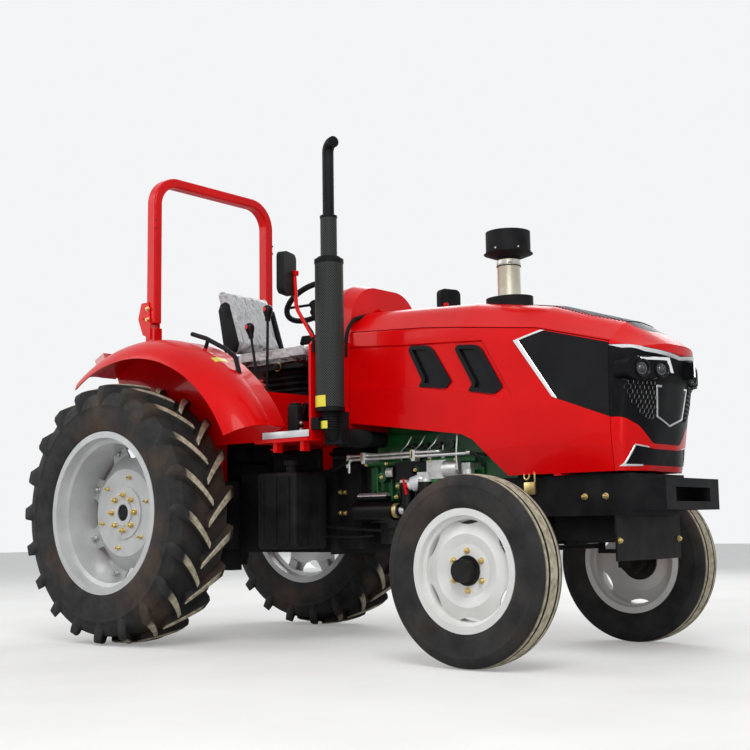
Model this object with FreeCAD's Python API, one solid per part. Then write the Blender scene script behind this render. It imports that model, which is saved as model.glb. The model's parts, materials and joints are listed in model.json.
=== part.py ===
import FreeCAD, Part
import math
import os

# Farm tractor, rear wheel drive, open platform with a folding roll bar.
# Millimetres. +X runs to the nose, +Y to the tractor's left, +Z up.
# The model is drawn with x = 0 at the rear axle and z = 0 on the ground.
# Each piece is moved on writing, so that the origin is the middle of the whole length.

V = FreeCAD.Vector
X_AXIS = V(1, 0, 0)
Y_AXIS = V(0, 1, 0)
Z_AXIS = V(0, 0, 1)
SIDES = {"right": -1, "left": 1}

# Whole vehicle
WHEELBASE = 2406
BUMPER_FACE_X = WHEELBASE + 722
HITCH_PIN_X = -860
HITCH_EYE_R = 30
REAR_AXLE_X = -(BUMPER_FACE_X + HITCH_PIN_X - HITCH_EYE_R) / 2

# Fits
SEAT_GAP = 0.3
PANEL_GAP = 5.0
RUN_GAP = 6.0

# Rear wheels
REAR_TRACK = 1647
REAR_TYRE_R = 739
REAR_TYRE_HALF = 190
REAR_BULGE_R = 590
LUG_COUNT = 20
REAR_RIM_HALF = 169
REAR_FLANGE_R = 460
REAR_SEAT_R = 432
REAR_WELL_R = 404
REAR_WELL_HALF = 95
REAR_RIM_WALL = 8
REAR_DISC_OUT = 4
REAR_DISC_WALL = 10
REAR_DISC_DISH = 75
REAR_DISC_FLAT_R = 250
REAR_CLAMP_COUNT = 8
REAR_CLAMP_R = 372
REAR_CLAMP_PAD = 56
REAR_SCALLOP_R = 92
REAR_HUB_R = 75
REAR_BOSS_R = 150
REAR_BOSS_UP = 8
REAR_BORE_R = 48
REAR_BORE_DEPTH = 30
REAR_HUB_FLANGE_R = 150
REAR_HUB_FLANGE_T = 20
REAR_NUT_COUNT = 8
REAR_NUT_CIRCLE_R = 101.5
REAR_SHAFT_R = 38
REAR_SHAFT_IN = 90

# Front wheels
FRONT_TRACK = 1535
FRONT_TYRE_R = 436
FRONT_TYRE_HALF = 90
FRONT_TREAD_HALF = 75
FRONT_BULGE_R = 350
FRONT_FACETS = 28
GROOVE_OUT = 25
GROOVE_WIDTH = 17
GROOVE_DEPTH = 18
FRONT_RIM_HALF = 74
FRONT_FLANGE_R = 280
FRONT_SEAT_R = 254
FRONT_WELL_R = 236
FRONT_WELL_HALF = 34
FRONT_RIM_WALL = 6
FRONT_DISC_OUT = 34
FRONT_DISC_WALL = 6
FRONT_DISC_FLAT_R = 120
FRONT_DISC_RIDGE_R = 165
FRONT_DISC_RIDGE_UP = 12
FRONT_GAP_COUNT = 6
FRONT_GAP_R = 140
FRONT_GAP_DEPTH = 22
FRONT_HUB_R = 68
FRONT_HUB_FLANGE_R = 105
FRONT_HUB_FLANGE_T = 12
FRONT_CAP_R = 52
FRONT_CAP_OUT = 60
FRONT_BOLT_COUNT = 6
FRONT_BOLT_CIRCLE_R = 89

# Front axle
KINGPIN_Y = 637
KINGPIN_R = 20
KINGPIN_BOSS_R = 38
BEAM_Z = 590
BEAM_SIZE = 100
ARM_LENGTH = 140
ARM_Z = 500
ARM_T = 22
ARM_HALF = 16
TIE_ROD_R = 14
TIE_EYE_R = 20
TIE_EYE_T = 36
TIE_PIN_R = 8
SPINDLE_R = 26
PIVOT_PIN_R = 26
EAR_T = 22

# Drive line
ENGINE_REAR_X = 1300
ENGINE_FRONT_X = WHEELBASE - 116
ENGINE_HALF = 200
ENGINE_SUMP_Z = 545
ENGINE_BLOCK_Z = 660
ENGINE_HEAD_Z = 985
ENGINE_TOP_Z = 1190
BELL_REAR_X = 1080
ENGINE_RIB = 14
GEARBOX_HALF = 190
GEARBOX_LOW_Z = 500
GEARBOX_TOP_Z = 960
AXLE_CASE_FRONT_X = 300
AXLE_CASE_REAR_X = -270
AXLE_CASE_HALF = 215
AXLE_CASE_LOW_Z = 520
AXLE_CASE_TOP_Z = 1040
TRUMPET_R = 85
TRUMPET_END_Y = 690

# Cast covers on each side of the block
# Columns: start and end as shares of the side, low and high z, how far out
ENGINE_COVERS = [
    (0.05, 0.27, 830, 955, ENGINE_RIB),
    (0.40, 0.66, 675, 760, 8),
    (0.72, 0.93, 760, 955, ENGINE_RIB),
]
# On the engine's sides; a span or place is a share of the way from bell housing to frame rails
STARTER_SPAN = (0.0, 0.306)
STARTER_R = 52
STARTER_COIL_R = 24
STARTER_OUT = 66
STARTER_Z = 722
# Columns: place of a can along the side, its low and high z, its radius
CANS = [(0.40, 742, 846, 40), (0.547, 770, 882, 44), (0.86, 846, 920, 34)]
PUMP_SPAN = (0.306, 0.706)
PUMP_LOW_Z = 880
PUMP_TOP_Z = 975
PUMP_OUT = 62
VALVE_COUNT = 4
INJECTOR_PIPE_R = 4
INJECTOR_Z = 1060
INJECTOR_NUT = 20
DYNAMO_SPAN = (0.824, 1.0)
DYNAMO_Y = 225
DYNAMO_Z = 1052
DYNAMO_R = 58
FUEL_PIPE_R = 8
# Columns: x of the rear end, place of the front end, height, drop at the rear end
FUEL_PIPES = [(1258, 0.682, 1018, 60), (1280, 0.912, 998, 70)]
PIPE_CLAMPS = (0.094, 0.494)

# Front frame
RAIL_INNER_Y = ENGINE_HALF
RAIL_OUTER_Y = 270
RAIL_LOW_Z = 675
RAIL_TOP_Z = 868
RAIL_REAR_X = ENGINE_FRONT_X - 140
RAIL_FRONT_X = BUMPER_FACE_X - 178
BUMPER_LOW_Z = 697
BUMPER_TOP_Z = 842
BUMPER_HALF = 270
BUMPER_POCKET_HALF = 175
BUMPER_POCKET_LOW = 735
BUMPER_POCKET_TOP = 800
BUMPER_POCKET_DEPTH = 110
GUARD_X = RAIL_FRONT_X - 65
GUARD_T = 10
GUARD_HALF = 315
GUARD_LOW_Z = 466

# Radiator
RADIATOR_X = WHEELBASE + 294
RADIATOR_DEPTH = 90
RADIATOR_HALF = 255
RADIATOR_TOP_Z = 1400
RADIATOR_FOOT = 20
FAN_Z = 1130
FAN_R = 210

# Bonnet
BONNET_REAR_X = 1296
BONNET_SKIN = 10
BONNET_WALL = 24
GRILLE_SKIN = 6
VENT_DEPTH = 18
NOSE_SEAM_X = WHEELBASE + 484
BONNET_DRAWN = 1594
LID_HINGE_X = 1300
LID_HINGE_Z = 1851
LID_HINGE_R = 9
LID_PIN_R = 4
LID_EAR_Y = 60

# Platform, roll bar, fenders and seat
FLOOR_Z = 1107
FLOOR_T = 14
PLATFORM_HALF = 645
FIREWALL_X = 1276
FIREWALL_T = 16
FIREWALL_TOP_Z = 1640
FIREWALL_HALF = 633
DECK_Z = 1390
DECK_REAR_X = -90
RISER_X = 880
ROPS_REAR_X = -205
ROPS_DEPTH = 80
ROPS_WIDTH = 60
ROPS_HALF = 515
ROPS_CORNER_R = 190
ROPS_EDGE_R = 12
ROPS_TOP_Z = 2841
ROPS_FOOT_Z = 1901
ROPS_POST_TOP_Z = 1867
ROPS_PIVOT_X = -228
ROPS_PIVOT_Z = 1934
ROPS_EAR_T = 8
ROPS_PIN_R = 10
FENDER_CX = 160
FENDER_CZ = REAR_TYRE_R - 42
FENDER_WALL = 8
FENDER_LIP_Y = 950
FENDER_SHOULDER = 240
FENDER_LIP_R = REAR_TYRE_R + 167
FENDER_CROWN_R = FENDER_LIP_R + 124
FENDER_INNER_Y = 604
DECK_HALF = FENDER_INNER_Y - FENDER_WALL
FENDER_FRONT_DEG = 28
FENDER_REAR_DEG = 122
HANDRAIL_Y = 700
HANDRAIL_UP = 52
SEAT_REAR_X = 400
SEAT_FRONT_X = 870
SEAT_BACK_X = 195
SEAT_RAIL = 30
SEAT_PAN_Z = 1566
SEAT_PAN_TOP_Z = 1594
SEAT_FOLDS = 4
SEAT_FOLD_OUT = 22
SEAT_HALF = 240
SEAT_TOP_Z = 1684
SEAT_SOFT_R = 26
SEAT_BACK_HALF = 195
SEAT_BACK_Z = 1690
SEAT_CREST_Z = 2118
# Columns: x and y of a lever's foot, x and z of its knob
LEVERS = [(600, -330, 520, 1810), (690, -360, 700, 1890)]
LEVER_R = 8
LEVER_KNOB_R = 24
LEVER_FOOT_R = 26
PEDAL_YS = (-340, -250, 300)
PEDAL_HALF = 38
PEDAL_ARM_R = 10
COWL_HALF = 300
# Columns: x, height of the crown, width of the rounded shoulder
COWL_SECTIONS = [
    (1020, 1900, 110),
    (1085, 1992, 130),
    (1180, 2004, 130),
    (BONNET_REAR_X - 2 * PANEL_GAP, 1978, 130),
]
STEER_X = 720
STEER_Z = 1985
STEER_R = 187
STEER_RIM_R = 17
STEER_TILT_DEG = 35
MIRROR_BAR_R = 7

# Exhaust stack and air cleaner
STACK_X = 1376
STACK_Y = -575
STACK_MUFFLER_R = 75
STACK_SLEEVE_R = 43
STACK_PIPE_R = 31
STACK_LOW_Z = 1240
STACK_MUFFLER_TOP_Z = 2052
STACK_SLEEVE_TOP_Z = 2291
STACK_TOP_Z = 2716
CLEANER_X = WHEELBASE - 271
CLEANER_PIPE_R = 59
CLEANER_CAP_R = 118
CLEANER_LIP_H = 22
CLEANER_LIP_R = 130
CLEANER_CAP_LOW_Z = 2035
CLEANER_TOP_Z = 2174
CLEANER_FOOT_Z = 1700

# Boxes carried beside the gearbox
SIDE_BOX_IN = 300
SIDE_BOX_OUT = 560
TANK_REAR_X = 810
TANK_FRONT_X = 1100
TANK_LOW_Z = 525
TANK_TOP_Z = 940
TANK_EDGE_R = 22
TANK_RIBS = 3
RIB_UP = 8
NECK_R = 30
STRAP_X = 880
STRAP_W = 40
STRAP_ZS = (600, 790)
BATTERY_REAR_X = 690
BATTERY_FRONT_X = 1000
BATTERY_LOW_Z = 560
BATTERY_TOP_Z = 880

# Three point hitch
LINK_PIVOT_X = -150
LINK_PIVOT_Y = 262
LINK_PIVOT_Z = 470
LINK_END_Y = 400
LINK_END_Z = 560
LINK_EYE_BORE_R = 14.35
LINK_DEPTH = 70
LINK_WIDTH = 22
ROD_SPOT = 0.46
LIFT_SHAFT_X = -190
LIFT_SHAFT_Z = 985
LIFT_SHAFT_R = 36
LIFT_ARM_Y = 262
TOP_LINK_X = -300
TOP_LINK_Z = 860
TOP_LINK_LENGTH = 520
TOP_LINK_DROP_DEG = 12
TOP_LINK_BORE_R = 12.75
DRAWBAR_END_X = -690
DRAWBAR_Z = 400
DRAWBAR_T = 32
DRAWBAR_HALF = 42
DRAWBAR_HOLE_R = 16
PTO_Z = 640
PTO_R = 17.5
PTO_LENGTH = 80

# Stations along a rear tread bar, from the tread's middle over the shoulder and down the side.
# Columns: outer out as a share of the tyre's half width and drop below its radius, the same inside,
# half width outside and inside, turn in degrees
LUG_STATIONS = [
    (-0.06, -0.195, -0.06, 70, 17, 22, -15.0),
    (0.94, 14, 0.80, 95, 29, 36, -0.9),
    (0.985, 132, 0.88, 150, 9, 12, 0.8),
]

os.makedirs("parts", exist_ok=True)


def box(x0, x1, y0, y1, z0, z1):
    low = V(min(x0, x1), min(y0, y1), min(z0, z1))
    return Part.makeBox(abs(x1 - x0), abs(y1 - y0), abs(z1 - z0), low)


def rod(start, end, radius):
    run = end - start
    return Part.makeCylinder(radius, run.Length, start, run)


def joined(shapes):
    whole = shapes[0].multiFuse(shapes[1:]) if len(shapes) > 1 else shapes[0]
    return whole.removeSplitter()


def apart(shapes):
    return Part.makeCompound(shapes)


def largest(shape):
    return max(shape.Solids, key=lambda solid: solid.Volume)


def plate_xz(points, y0, y1):
    """A flat outline of (x, z) points, as thick as y0 to y1."""
    low = min(y0, y1)
    wire = Part.makePolygon([V(x, low, z) for x, z in points + points[:1]])
    return Part.Face(wire).extrude(V(0, abs(y1 - y0), 0))


def plate_yz(points, x0, x1):
    """A flat outline of (y, z) points, as thick as x0 to x1."""
    low = min(x0, x1)
    wire = Part.makePolygon([V(low, y, z) for y, z in points + points[:1]])
    return Part.Face(wire).extrude(V(abs(x1 - x0), 0, 0))


def plate_xy(points, z0, z1):
    """A flat outline of (x, y) points, as thick as z0 to z1."""
    wire = Part.makePolygon([V(x, y, z0) for x, y in points + points[:1]])
    return Part.Face(wire).extrude(V(0, 0, z1 - z0))


def soft_wire(points, shares):
    """A closed flat outline whose corners are arcs that take up a share of their shorter run."""
    edges = []
    corners = []
    count = len(points)
    for index, share in enumerate(shares):
        corner = points[index]
        back = points[index - 1] - corner
        ahead = points[(index + 1) % count] - corner
        cut = share * min(back.Length, ahead.Length)
        back.normalize()
        ahead.normalize()
        half = back.getAngle(ahead) / 2
        if cut == 0:
            corners.append((corner, corner, corner))
            continue
        radius = cut * math.tan(half)
        middle = corner + (back + ahead).normalize() * (radius / math.sin(half) - radius)
        corners.append((corner + back * cut, middle, corner + ahead * cut))
    for index, (start, middle, end) in enumerate(corners):
        if start != end:
            edges.append(Part.Arc(start, middle, end).toShape())
        edges.append(Part.LineSegment(end, corners[(index + 1) % count][0]).toShape())
    return Part.Wire(edges)


def soft_plate(points, share, through):
    """A flat outline with every corner rounded, as thick as the vector through."""
    return Part.Face(soft_wire(points, [share] * len(points))).extrude(through)


def mirrored(shape):
    return shape.mirror(V(0, 0, 0), Y_AXIS)


def on_side(shape, side):
    """A piece drawn on the left, put on the asked side."""
    return shape if side > 0 else mirrored(shape)


def spun(profile, cx, cz):
    """A closed (out, radius) outline turned about a line along Y through cx, cz."""
    wire = Part.makePolygon([V(cx, out, cz + radius) for out, radius in profile + profile[:1]])
    return Part.Face(wire).revolve(V(cx, 0, cz), Y_AXIS, 360)


def pipe_path(points, radius, bend):
    """A round bar along straight runs joined by arcs."""
    edges = []
    start = points[0]
    for before, corner, after in zip(points, points[1:], points[2:]):
        into = (corner - before).normalize()
        out = (after - corner).normalize()
        turn = into.getAngle(out)
        cut = bend * math.tan(turn / 2)
        arc_start = corner - into * cut
        arc_end = corner + out * cut
        inward = (out - into).normalize()
        middle = corner + inward * (bend / math.cos(turn / 2) - bend)
        edges.append(Part.LineSegment(start, arc_start).toShape())
        edges.append(Part.Arc(arc_start, middle, arc_end).toShape())
        start = arc_end
    edges.append(Part.LineSegment(start, points[-1]).toShape())
    first = points[1] - points[0]
    ring = Part.Wire(Part.makeCircle(radius, points[0], first))
    return Part.Wire(edges).makePipeShell([ring], True, True)


# Tyres are carried round in flat facets, because they are repeated and heavy with lugs
def faceted(profile, cx, cz, facets, start_deg):
    """A closed (out, radius) outline carried round a line along Y in flat facets."""
    rings = []
    for index in range(facets):
        angle = math.radians(start_deg + 360 / facets * index)
        rings.append([V(cx + r * math.cos(angle), out, cz + r * math.sin(angle)) for out, r in profile])
    faces = []
    for here, there in zip(rings, rings[1:] + rings[:1]):
        for a in range(len(profile)):
            b = (a + 1) % len(profile)
            faces.append(Part.Face(Part.makePolygon([here[a], here[b], there[b], there[a], here[a]])))
    return closed_shell(faces)


def closed_shell(faces):
    shell = Part.makeShell(faces)
    shell.sewShape()
    return Part.makeSolid(shell)


def rear_lug(side, centre, angle_deg):
    """One tread bar from the tread's middle over the shoulder and down the side, between rings of corners."""
    rings = []
    for out_a, drop_a, out_b, drop_b, half_a, half_b, turn in LUG_STATIONS:
        base = math.radians(angle_deg + turn)
        ring = []
        for out, drop, half in (
            (out_a, drop_a, -half_a), (out_a, drop_a, half_a), (out_b, drop_b, half_b), (out_b, drop_b, -half_b)
        ):
            radius = REAR_TYRE_R - drop
            angle = base + half / radius
            y = centre + side * out * REAR_TYRE_HALF
            ring.append(V(radius * math.cos(angle), y, REAR_TYRE_R + radius * math.sin(angle)))
        rings.append(ring)
    faces = [Part.Face(Part.makePolygon(ring + ring[:1])) for ring in (rings[0], rings[-1])]
    for here, there in zip(rings, rings[1:]):
        for a in range(4):
            b = (a + 1) % 4
            faces.append(Part.Face(Part.makePolygon([here[a], here[b], there[b], here[a]])))
            faces.append(Part.Face(Part.makePolygon([here[a], there[b], there[a], here[a]])))
    return closed_shell(faces)


# Rear wheels
def rear_tyre(side):
    centre = side * REAR_TRACK / 2
    bead_out = REAR_RIM_HALF - REAR_RIM_WALL - SEAT_GAP
    over = 1 / math.cos(math.pi / LUG_COUNT)
    half = [
        (bead_out, (REAR_SEAT_R + SEAT_GAP) * over),
        (bead_out, (REAR_FLANGE_R + SEAT_GAP) * over),
        (REAR_RIM_HALF + 8, REAR_FLANGE_R + 18),
        (REAR_TYRE_HALF - 2, REAR_BULGE_R),
        (REAR_TYRE_HALF * 0.88, REAR_TYRE_R - 52),
    ]
    profile = [(centre - out, r) for out, r in half] + [(centre + out, r) for out, r in half[::-1]]
    step = 360 / LUG_COUNT
    down = -90 - LUG_STATIONS[0][-1]
    pieces = [faceted(profile, 0, REAR_TYRE_R, LUG_COUNT, down)]
    for way in SIDES.values():
        start = down if way == side else down + step / 2
        pieces += [rear_lug(way, centre, start + step * index) for index in range(LUG_COUNT)]
    return joined(pieces)


def rim_profile(centre, half, well_half, flange_r, seat_r, well_r, wall):
    """Outline of a drop centre rim, outer skin then inner skin."""
    outer = [
        (centre - half, flange_r),
        (centre - half + wall, flange_r),
        (centre - half + wall, seat_r),
        (centre - well_half - wall, seat_r - 4),
        (centre - well_half, well_r),
        (centre + well_half, well_r),
        (centre + well_half + wall, seat_r - 4),
        (centre + half - wall, seat_r),
        (centre + half - wall, flange_r),
        (centre + half, flange_r),
    ]
    inner = [
        (centre + half, seat_r - wall),
        (centre + well_half + 2 * wall, seat_r - 4 - wall),
        (centre + well_half + wall, well_r - wall),
        (centre - well_half - wall, well_r - wall),
        (centre - well_half - 2 * wall, seat_r - 4 - wall),
        (centre - half, seat_r - wall),
    ]
    return outer + inner


def rear_rim(side):
    centre = side * REAR_TRACK / 2
    barrel = spun(
        rim_profile(
            centre, REAR_RIM_HALF, REAR_WELL_HALF, REAR_FLANGE_R, REAR_SEAT_R, REAR_WELL_R, REAR_RIM_WALL
        ),
        0,
        REAR_TYRE_R,
    )
    face = centre + side * REAR_DISC_OUT
    back = face - side * REAR_DISC_WALL
    edge_face = face - side * REAR_DISC_DISH
    edge_back = edge_face - side * REAR_DISC_WALL
    edge_r = REAR_CLAMP_R + REAR_CLAMP_PAD / 2
    disc = spun(
        [
            (face, REAR_HUB_R),
            (face, REAR_DISC_FLAT_R),
            (edge_face, edge_r - REAR_CLAMP_PAD),
            (edge_face, edge_r),
            (edge_back, edge_r),
            (edge_back, edge_r - REAR_CLAMP_PAD),
            (back, REAR_DISC_FLAT_R - 8),
            (back, REAR_HUB_R),
        ],
        0,
        REAR_TYRE_R,
    )
    pieces = [barrel]
    cuts = []
    step = 360 / REAR_CLAMP_COUNT
    inner_r = REAR_WELL_R - REAR_RIM_WALL
    for index in range(REAR_CLAMP_COUNT):
        angle = math.radians(step * (index + 0.5))
        between = math.radians(step * index)
        spot = V(math.cos(angle), 0, math.sin(angle))
        gap = V(math.cos(between), 0, math.sin(between)) * (edge_r + 8)
        middle = V(0, centre, REAR_TYRE_R)
        clamp = box(
            -REAR_CLAMP_PAD / 2,
            REAR_CLAMP_PAD / 2,
            edge_back - side * 26,
            edge_back,
            edge_r - REAR_CLAMP_PAD,
            inner_r + 4,
        )
        clamp.rotate(V(0, 0, 0), Y_AXIS, 90 - math.degrees(angle))
        clamp.translate(V(0, 0, REAR_TYRE_R))
        pieces.append(clamp)
        bolt_at = spot * (edge_r - REAR_CLAMP_PAD / 2) + V(0, edge_back, REAR_TYRE_R)
        pieces.append(rod(bolt_at, bolt_at + V(0, side * 42, 0), 12))
        cuts.append(rod(middle + gap - Y_AXIS * 200, middle + gap + Y_AXIS * 200, REAR_SCALLOP_R))
    scalloped = disc.cut(Part.makeCompound(cuts))
    pieces.append(scalloped)
    hub_in = side * (TRUMPET_END_Y + RUN_GAP)
    axis_at = V(0, 0, REAR_TYRE_R)
    boss = face + side * REAR_BOSS_UP
    pieces.append(rod(axis_at + Y_AXIS * hub_in, axis_at + Y_AXIS * (boss + side * 6), REAR_HUB_R))
    pieces.append(rod(axis_at + Y_AXIS * back, axis_at + Y_AXIS * boss, REAR_BOSS_R))
    flange_in = back - side * REAR_HUB_FLANGE_T
    pieces.append(rod(axis_at + Y_AXIS * flange_in, axis_at + Y_AXIS * back, REAR_HUB_FLANGE_R))
    shaft_in = side * (TRUMPET_END_Y - REAR_SHAFT_IN)
    pieces.append(rod(axis_at + Y_AXIS * shaft_in, axis_at + Y_AXIS * hub_in, REAR_SHAFT_R))
    for index in range(REAR_NUT_COUNT):
        angle = math.radians(360 / REAR_NUT_COUNT * index)
        at = V(math.cos(angle), 0, math.sin(angle)) * REAR_NUT_CIRCLE_R + V(0, boss, REAR_TYRE_R)
        pieces.append(rod(at - V(0, side, 0), at + V(0, side * 14, 0), 13))
    mouth = axis_at + Y_AXIS * (boss + side * 7)
    bore = rod(mouth, mouth - Y_AXIS * side * (REAR_BORE_DEPTH + 7), REAR_BORE_R)
    return joined(pieces).cut(bore)


# Front wheels
def front_tyre(side):
    centre = side * FRONT_TRACK / 2
    bead_out = FRONT_RIM_HALF - FRONT_RIM_WALL - SEAT_GAP
    over = 1 / math.cos(math.pi / FRONT_FACETS)
    half = [
        (bead_out, (FRONT_SEAT_R + SEAT_GAP) * over),
        (bead_out, (FRONT_FLANGE_R + SEAT_GAP) * over),
        (FRONT_RIM_HALF + 5, FRONT_FLANGE_R + 12),
        (FRONT_TYRE_HALF, FRONT_BULGE_R),
        (FRONT_TREAD_HALF, (FRONT_TYRE_R - 10) * over),
        (GROOVE_OUT + GROOVE_WIDTH, (FRONT_TYRE_R - 3) * over),
        (GROOVE_OUT + GROOVE_WIDTH, FRONT_TYRE_R - GROOVE_DEPTH),
        (GROOVE_OUT, FRONT_TYRE_R - GROOVE_DEPTH),
        (GROOVE_OUT, FRONT_TYRE_R * over),
    ]
    profile = [(centre - out, r) for out, r in half] + [(centre + out, r) for out, r in half[::-1]]
    return faceted(profile, WHEELBASE, FRONT_TYRE_R, FRONT_FACETS, -90 + 180 / FRONT_FACETS)


def front_rim(side):
    centre = side * FRONT_TRACK / 2
    barrel = spun(
        rim_profile(
            centre,
            FRONT_RIM_HALF,
            FRONT_WELL_HALF,
            FRONT_FLANGE_R,
            FRONT_SEAT_R,
            FRONT_WELL_R,
            FRONT_RIM_WALL,
        ),
        WHEELBASE,
        FRONT_TYRE_R,
    )
    face = centre + side * FRONT_DISC_OUT
    back = face - side * FRONT_DISC_WALL
    edge = centre + side * FRONT_WELL_HALF * 0.4
    ridge = side * FRONT_DISC_RIDGE_UP
    well_in = FRONT_WELL_R - FRONT_RIM_WALL
    disc = spun(
        [
            (face, FRONT_HUB_R + SEAT_GAP),
            (face, FRONT_DISC_FLAT_R),
            (face + ridge, FRONT_DISC_RIDGE_R),
            (edge + side * FRONT_DISC_WALL, well_in + 2),
            (edge, well_in + 2),
            (back + ridge, FRONT_DISC_RIDGE_R - 2),
            (back, FRONT_DISC_FLAT_R - 4),
            (back, FRONT_HUB_R + SEAT_GAP),
        ],
        WHEELBASE,
        FRONT_TYRE_R,
    )
    gaps = []
    for index in range(FRONT_GAP_COUNT):
        angle = math.radians(360 / FRONT_GAP_COUNT * (index + 0.5))
        spot = V(WHEELBASE, centre, FRONT_TYRE_R)
        spot += V(math.cos(angle), 0, math.sin(angle)) * (well_in + FRONT_GAP_R - FRONT_GAP_DEPTH)
        gaps.append(rod(spot - Y_AXIS * 60, spot + Y_AXIS * 60, FRONT_GAP_R))
    pieces = [barrel, disc.cut(Part.makeCompound(gaps))]
    for index in range(FRONT_BOLT_COUNT):
        angle = math.radians(360 / FRONT_BOLT_COUNT * (index + 0.5))
        out = V(math.cos(angle), 0, math.sin(angle)) * FRONT_BOLT_CIRCLE_R
        at = out + V(WHEELBASE, face, FRONT_TYRE_R)
        pieces.append(rod(at - V(0, side, 0), at + V(0, side * 12, 0), 11))
    return joined(pieces)


def front_hub(side):
    centre = side * FRONT_TRACK / 2
    face = centre + side * FRONT_DISC_OUT
    back = face - side * (FRONT_DISC_WALL + SEAT_GAP)
    at = V(WHEELBASE, 0, FRONT_TYRE_R)
    barrel_in = side * (KINGPIN_Y + KINGPIN_BOSS_R + 18)
    pieces = [
        rod(at + Y_AXIS * barrel_in, at + Y_AXIS * (face + side * 8), FRONT_HUB_R),
        rod(at + Y_AXIS * (back - side * FRONT_HUB_FLANGE_T), at + Y_AXIS * back, FRONT_HUB_FLANGE_R),
        rod(at + Y_AXIS * face, at + Y_AXIS * (face + side * FRONT_CAP_OUT), FRONT_CAP_R),
    ]
    bore = rod(at + Y_AXIS * (barrel_in - side), at + Y_AXIS * centre, SPINDLE_R + SEAT_GAP)
    return joined(pieces).cut(bore)


# Front axle, knuckles and tie rod
def beam():
    half = BEAM_SIZE / 2
    bar = box(
        WHEELBASE - half, WHEELBASE + half, -KINGPIN_Y, KINGPIN_Y, BEAM_Z - half, BEAM_Z + half
    )
    pieces = [bar]
    for side in SIDES.values():
        foot = V(WHEELBASE, side * KINGPIN_Y, BEAM_Z - half - 8)
        pieces.append(rod(foot, foot + V(0, 0, BEAM_SIZE + 16), KINGPIN_BOSS_R))
    whole = joined(pieces)
    for side in SIDES.values():
        ring = V(WHEELBASE, side * KINGPIN_Y, 0)
        trim = box(
            WHEELBASE - 70, WHEELBASE + 70, side * KINGPIN_Y, side * (KINGPIN_Y + 70), BEAM_Z - 80, BEAM_Z + 80
        )
        trim = trim.cut(rod(ring, ring + V(0, 0, 1000), KINGPIN_BOSS_R))
        whole = whole.cut(trim)
        whole = whole.cut(rod(ring, ring + V(0, 0, 1000), KINGPIN_R + SEAT_GAP))
    pin = V(WHEELBASE - half - 1, 0, BEAM_Z)
    return whole.cut(rod(pin, pin + V(BEAM_SIZE + 2, 0, 0), PIVOT_PIN_R + SEAT_GAP))


def knuckle(side):
    half = BEAM_SIZE / 2
    boss_low = BEAM_Z - half - 8
    boss_top = BEAM_Z + half + 8
    y = side * KINGPIN_Y
    foot = V(WHEELBASE, y, 0)
    pieces = [
        rod(foot + Z_AXIS * (ARM_Z + ARM_T), foot + Z_AXIS * (boss_top + 22), KINGPIN_R),
        rod(foot + Z_AXIS * (boss_top + SEAT_GAP), foot + Z_AXIS * (boss_top + 22), KINGPIN_R + 12),
        rod(foot + Z_AXIS * (FRONT_TYRE_R - 34), foot + Z_AXIS * (boss_low - SEAT_GAP), KINGPIN_BOSS_R),
        box(
            WHEELBASE - ARM_LENGTH, WHEELBASE, y - ARM_HALF, y + ARM_HALF, ARM_Z - ARM_T, ARM_Z
        ),
        rod(
            V(WHEELBASE - ARM_LENGTH, y, ARM_Z - ARM_T),
            V(WHEELBASE - ARM_LENGTH, y, ARM_Z),
            TIE_EYE_R,
        ),
        rod(
            V(WHEELBASE - ARM_LENGTH, y, ARM_Z),
            V(WHEELBASE - ARM_LENGTH, y, ARM_Z + TIE_EYE_T + 8),
            TIE_PIN_R,
        ),
        rod(
            V(WHEELBASE, y, FRONT_TYRE_R),
            V(WHEELBASE, side * (FRONT_TRACK / 2 - 4), FRONT_TYRE_R),
            SPINDLE_R,
        ),
    ]
    return joined(pieces)


def tie_rod():
    x = WHEELBASE - ARM_LENGTH
    low = ARM_Z + SEAT_GAP
    z = low + TIE_EYE_T / 2
    pieces = [rod(V(x, -KINGPIN_Y, z), V(x, KINGPIN_Y, z), TIE_ROD_R)]
    bores = []
    for side in SIDES.values():
        pieces.append(rod(V(x, side * KINGPIN_Y, low), V(x, side * KINGPIN_Y, low + TIE_EYE_T), TIE_EYE_R))
        foot = V(x, side * KINGPIN_Y, low - 5)
        bores.append(rod(foot, foot + Z_AXIS * (TIE_EYE_T + 10), TIE_PIN_R + SEAT_GAP))
    return joined(pieces).cut(Part.makeCompound(bores))


def front_frame():
    pieces = []
    for side in SIDES.values():
        pieces.append(
            box(RAIL_REAR_X, RAIL_FRONT_X, side * RAIL_INNER_Y, side * RAIL_OUTER_Y, RAIL_LOW_Z, RAIL_TOP_Z)
        )
    inner = RAIL_INNER_Y
    pieces.append(box(RAIL_FRONT_X - 60, RAIL_FRONT_X, -inner, inner, RAIL_LOW_Z, RAIL_TOP_Z))
    pieces.append(box(WHEELBASE - 76, WHEELBASE + 76, -inner, inner, RAIL_LOW_Z + 30, RAIL_LOW_Z + 100))
    half = BEAM_SIZE / 2 + 3
    for way in (-1, 1):
        face = WHEELBASE + way * half
        pieces.append(
            plate_yz(
                [(-150, RAIL_LOW_Z + 30), (150, RAIL_LOW_Z + 30), (60, BEAM_Z - 55), (-60, BEAM_Z - 55)],
                face,
                face + way * EAR_T,
            )
        )
    reach = half + EAR_T
    pieces.append(
        rod(V(WHEELBASE - reach - 8, 0, BEAM_Z), V(WHEELBASE + reach + 8, 0, BEAM_Z), PIVOT_PIN_R)
    )
    return joined(pieces)


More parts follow.
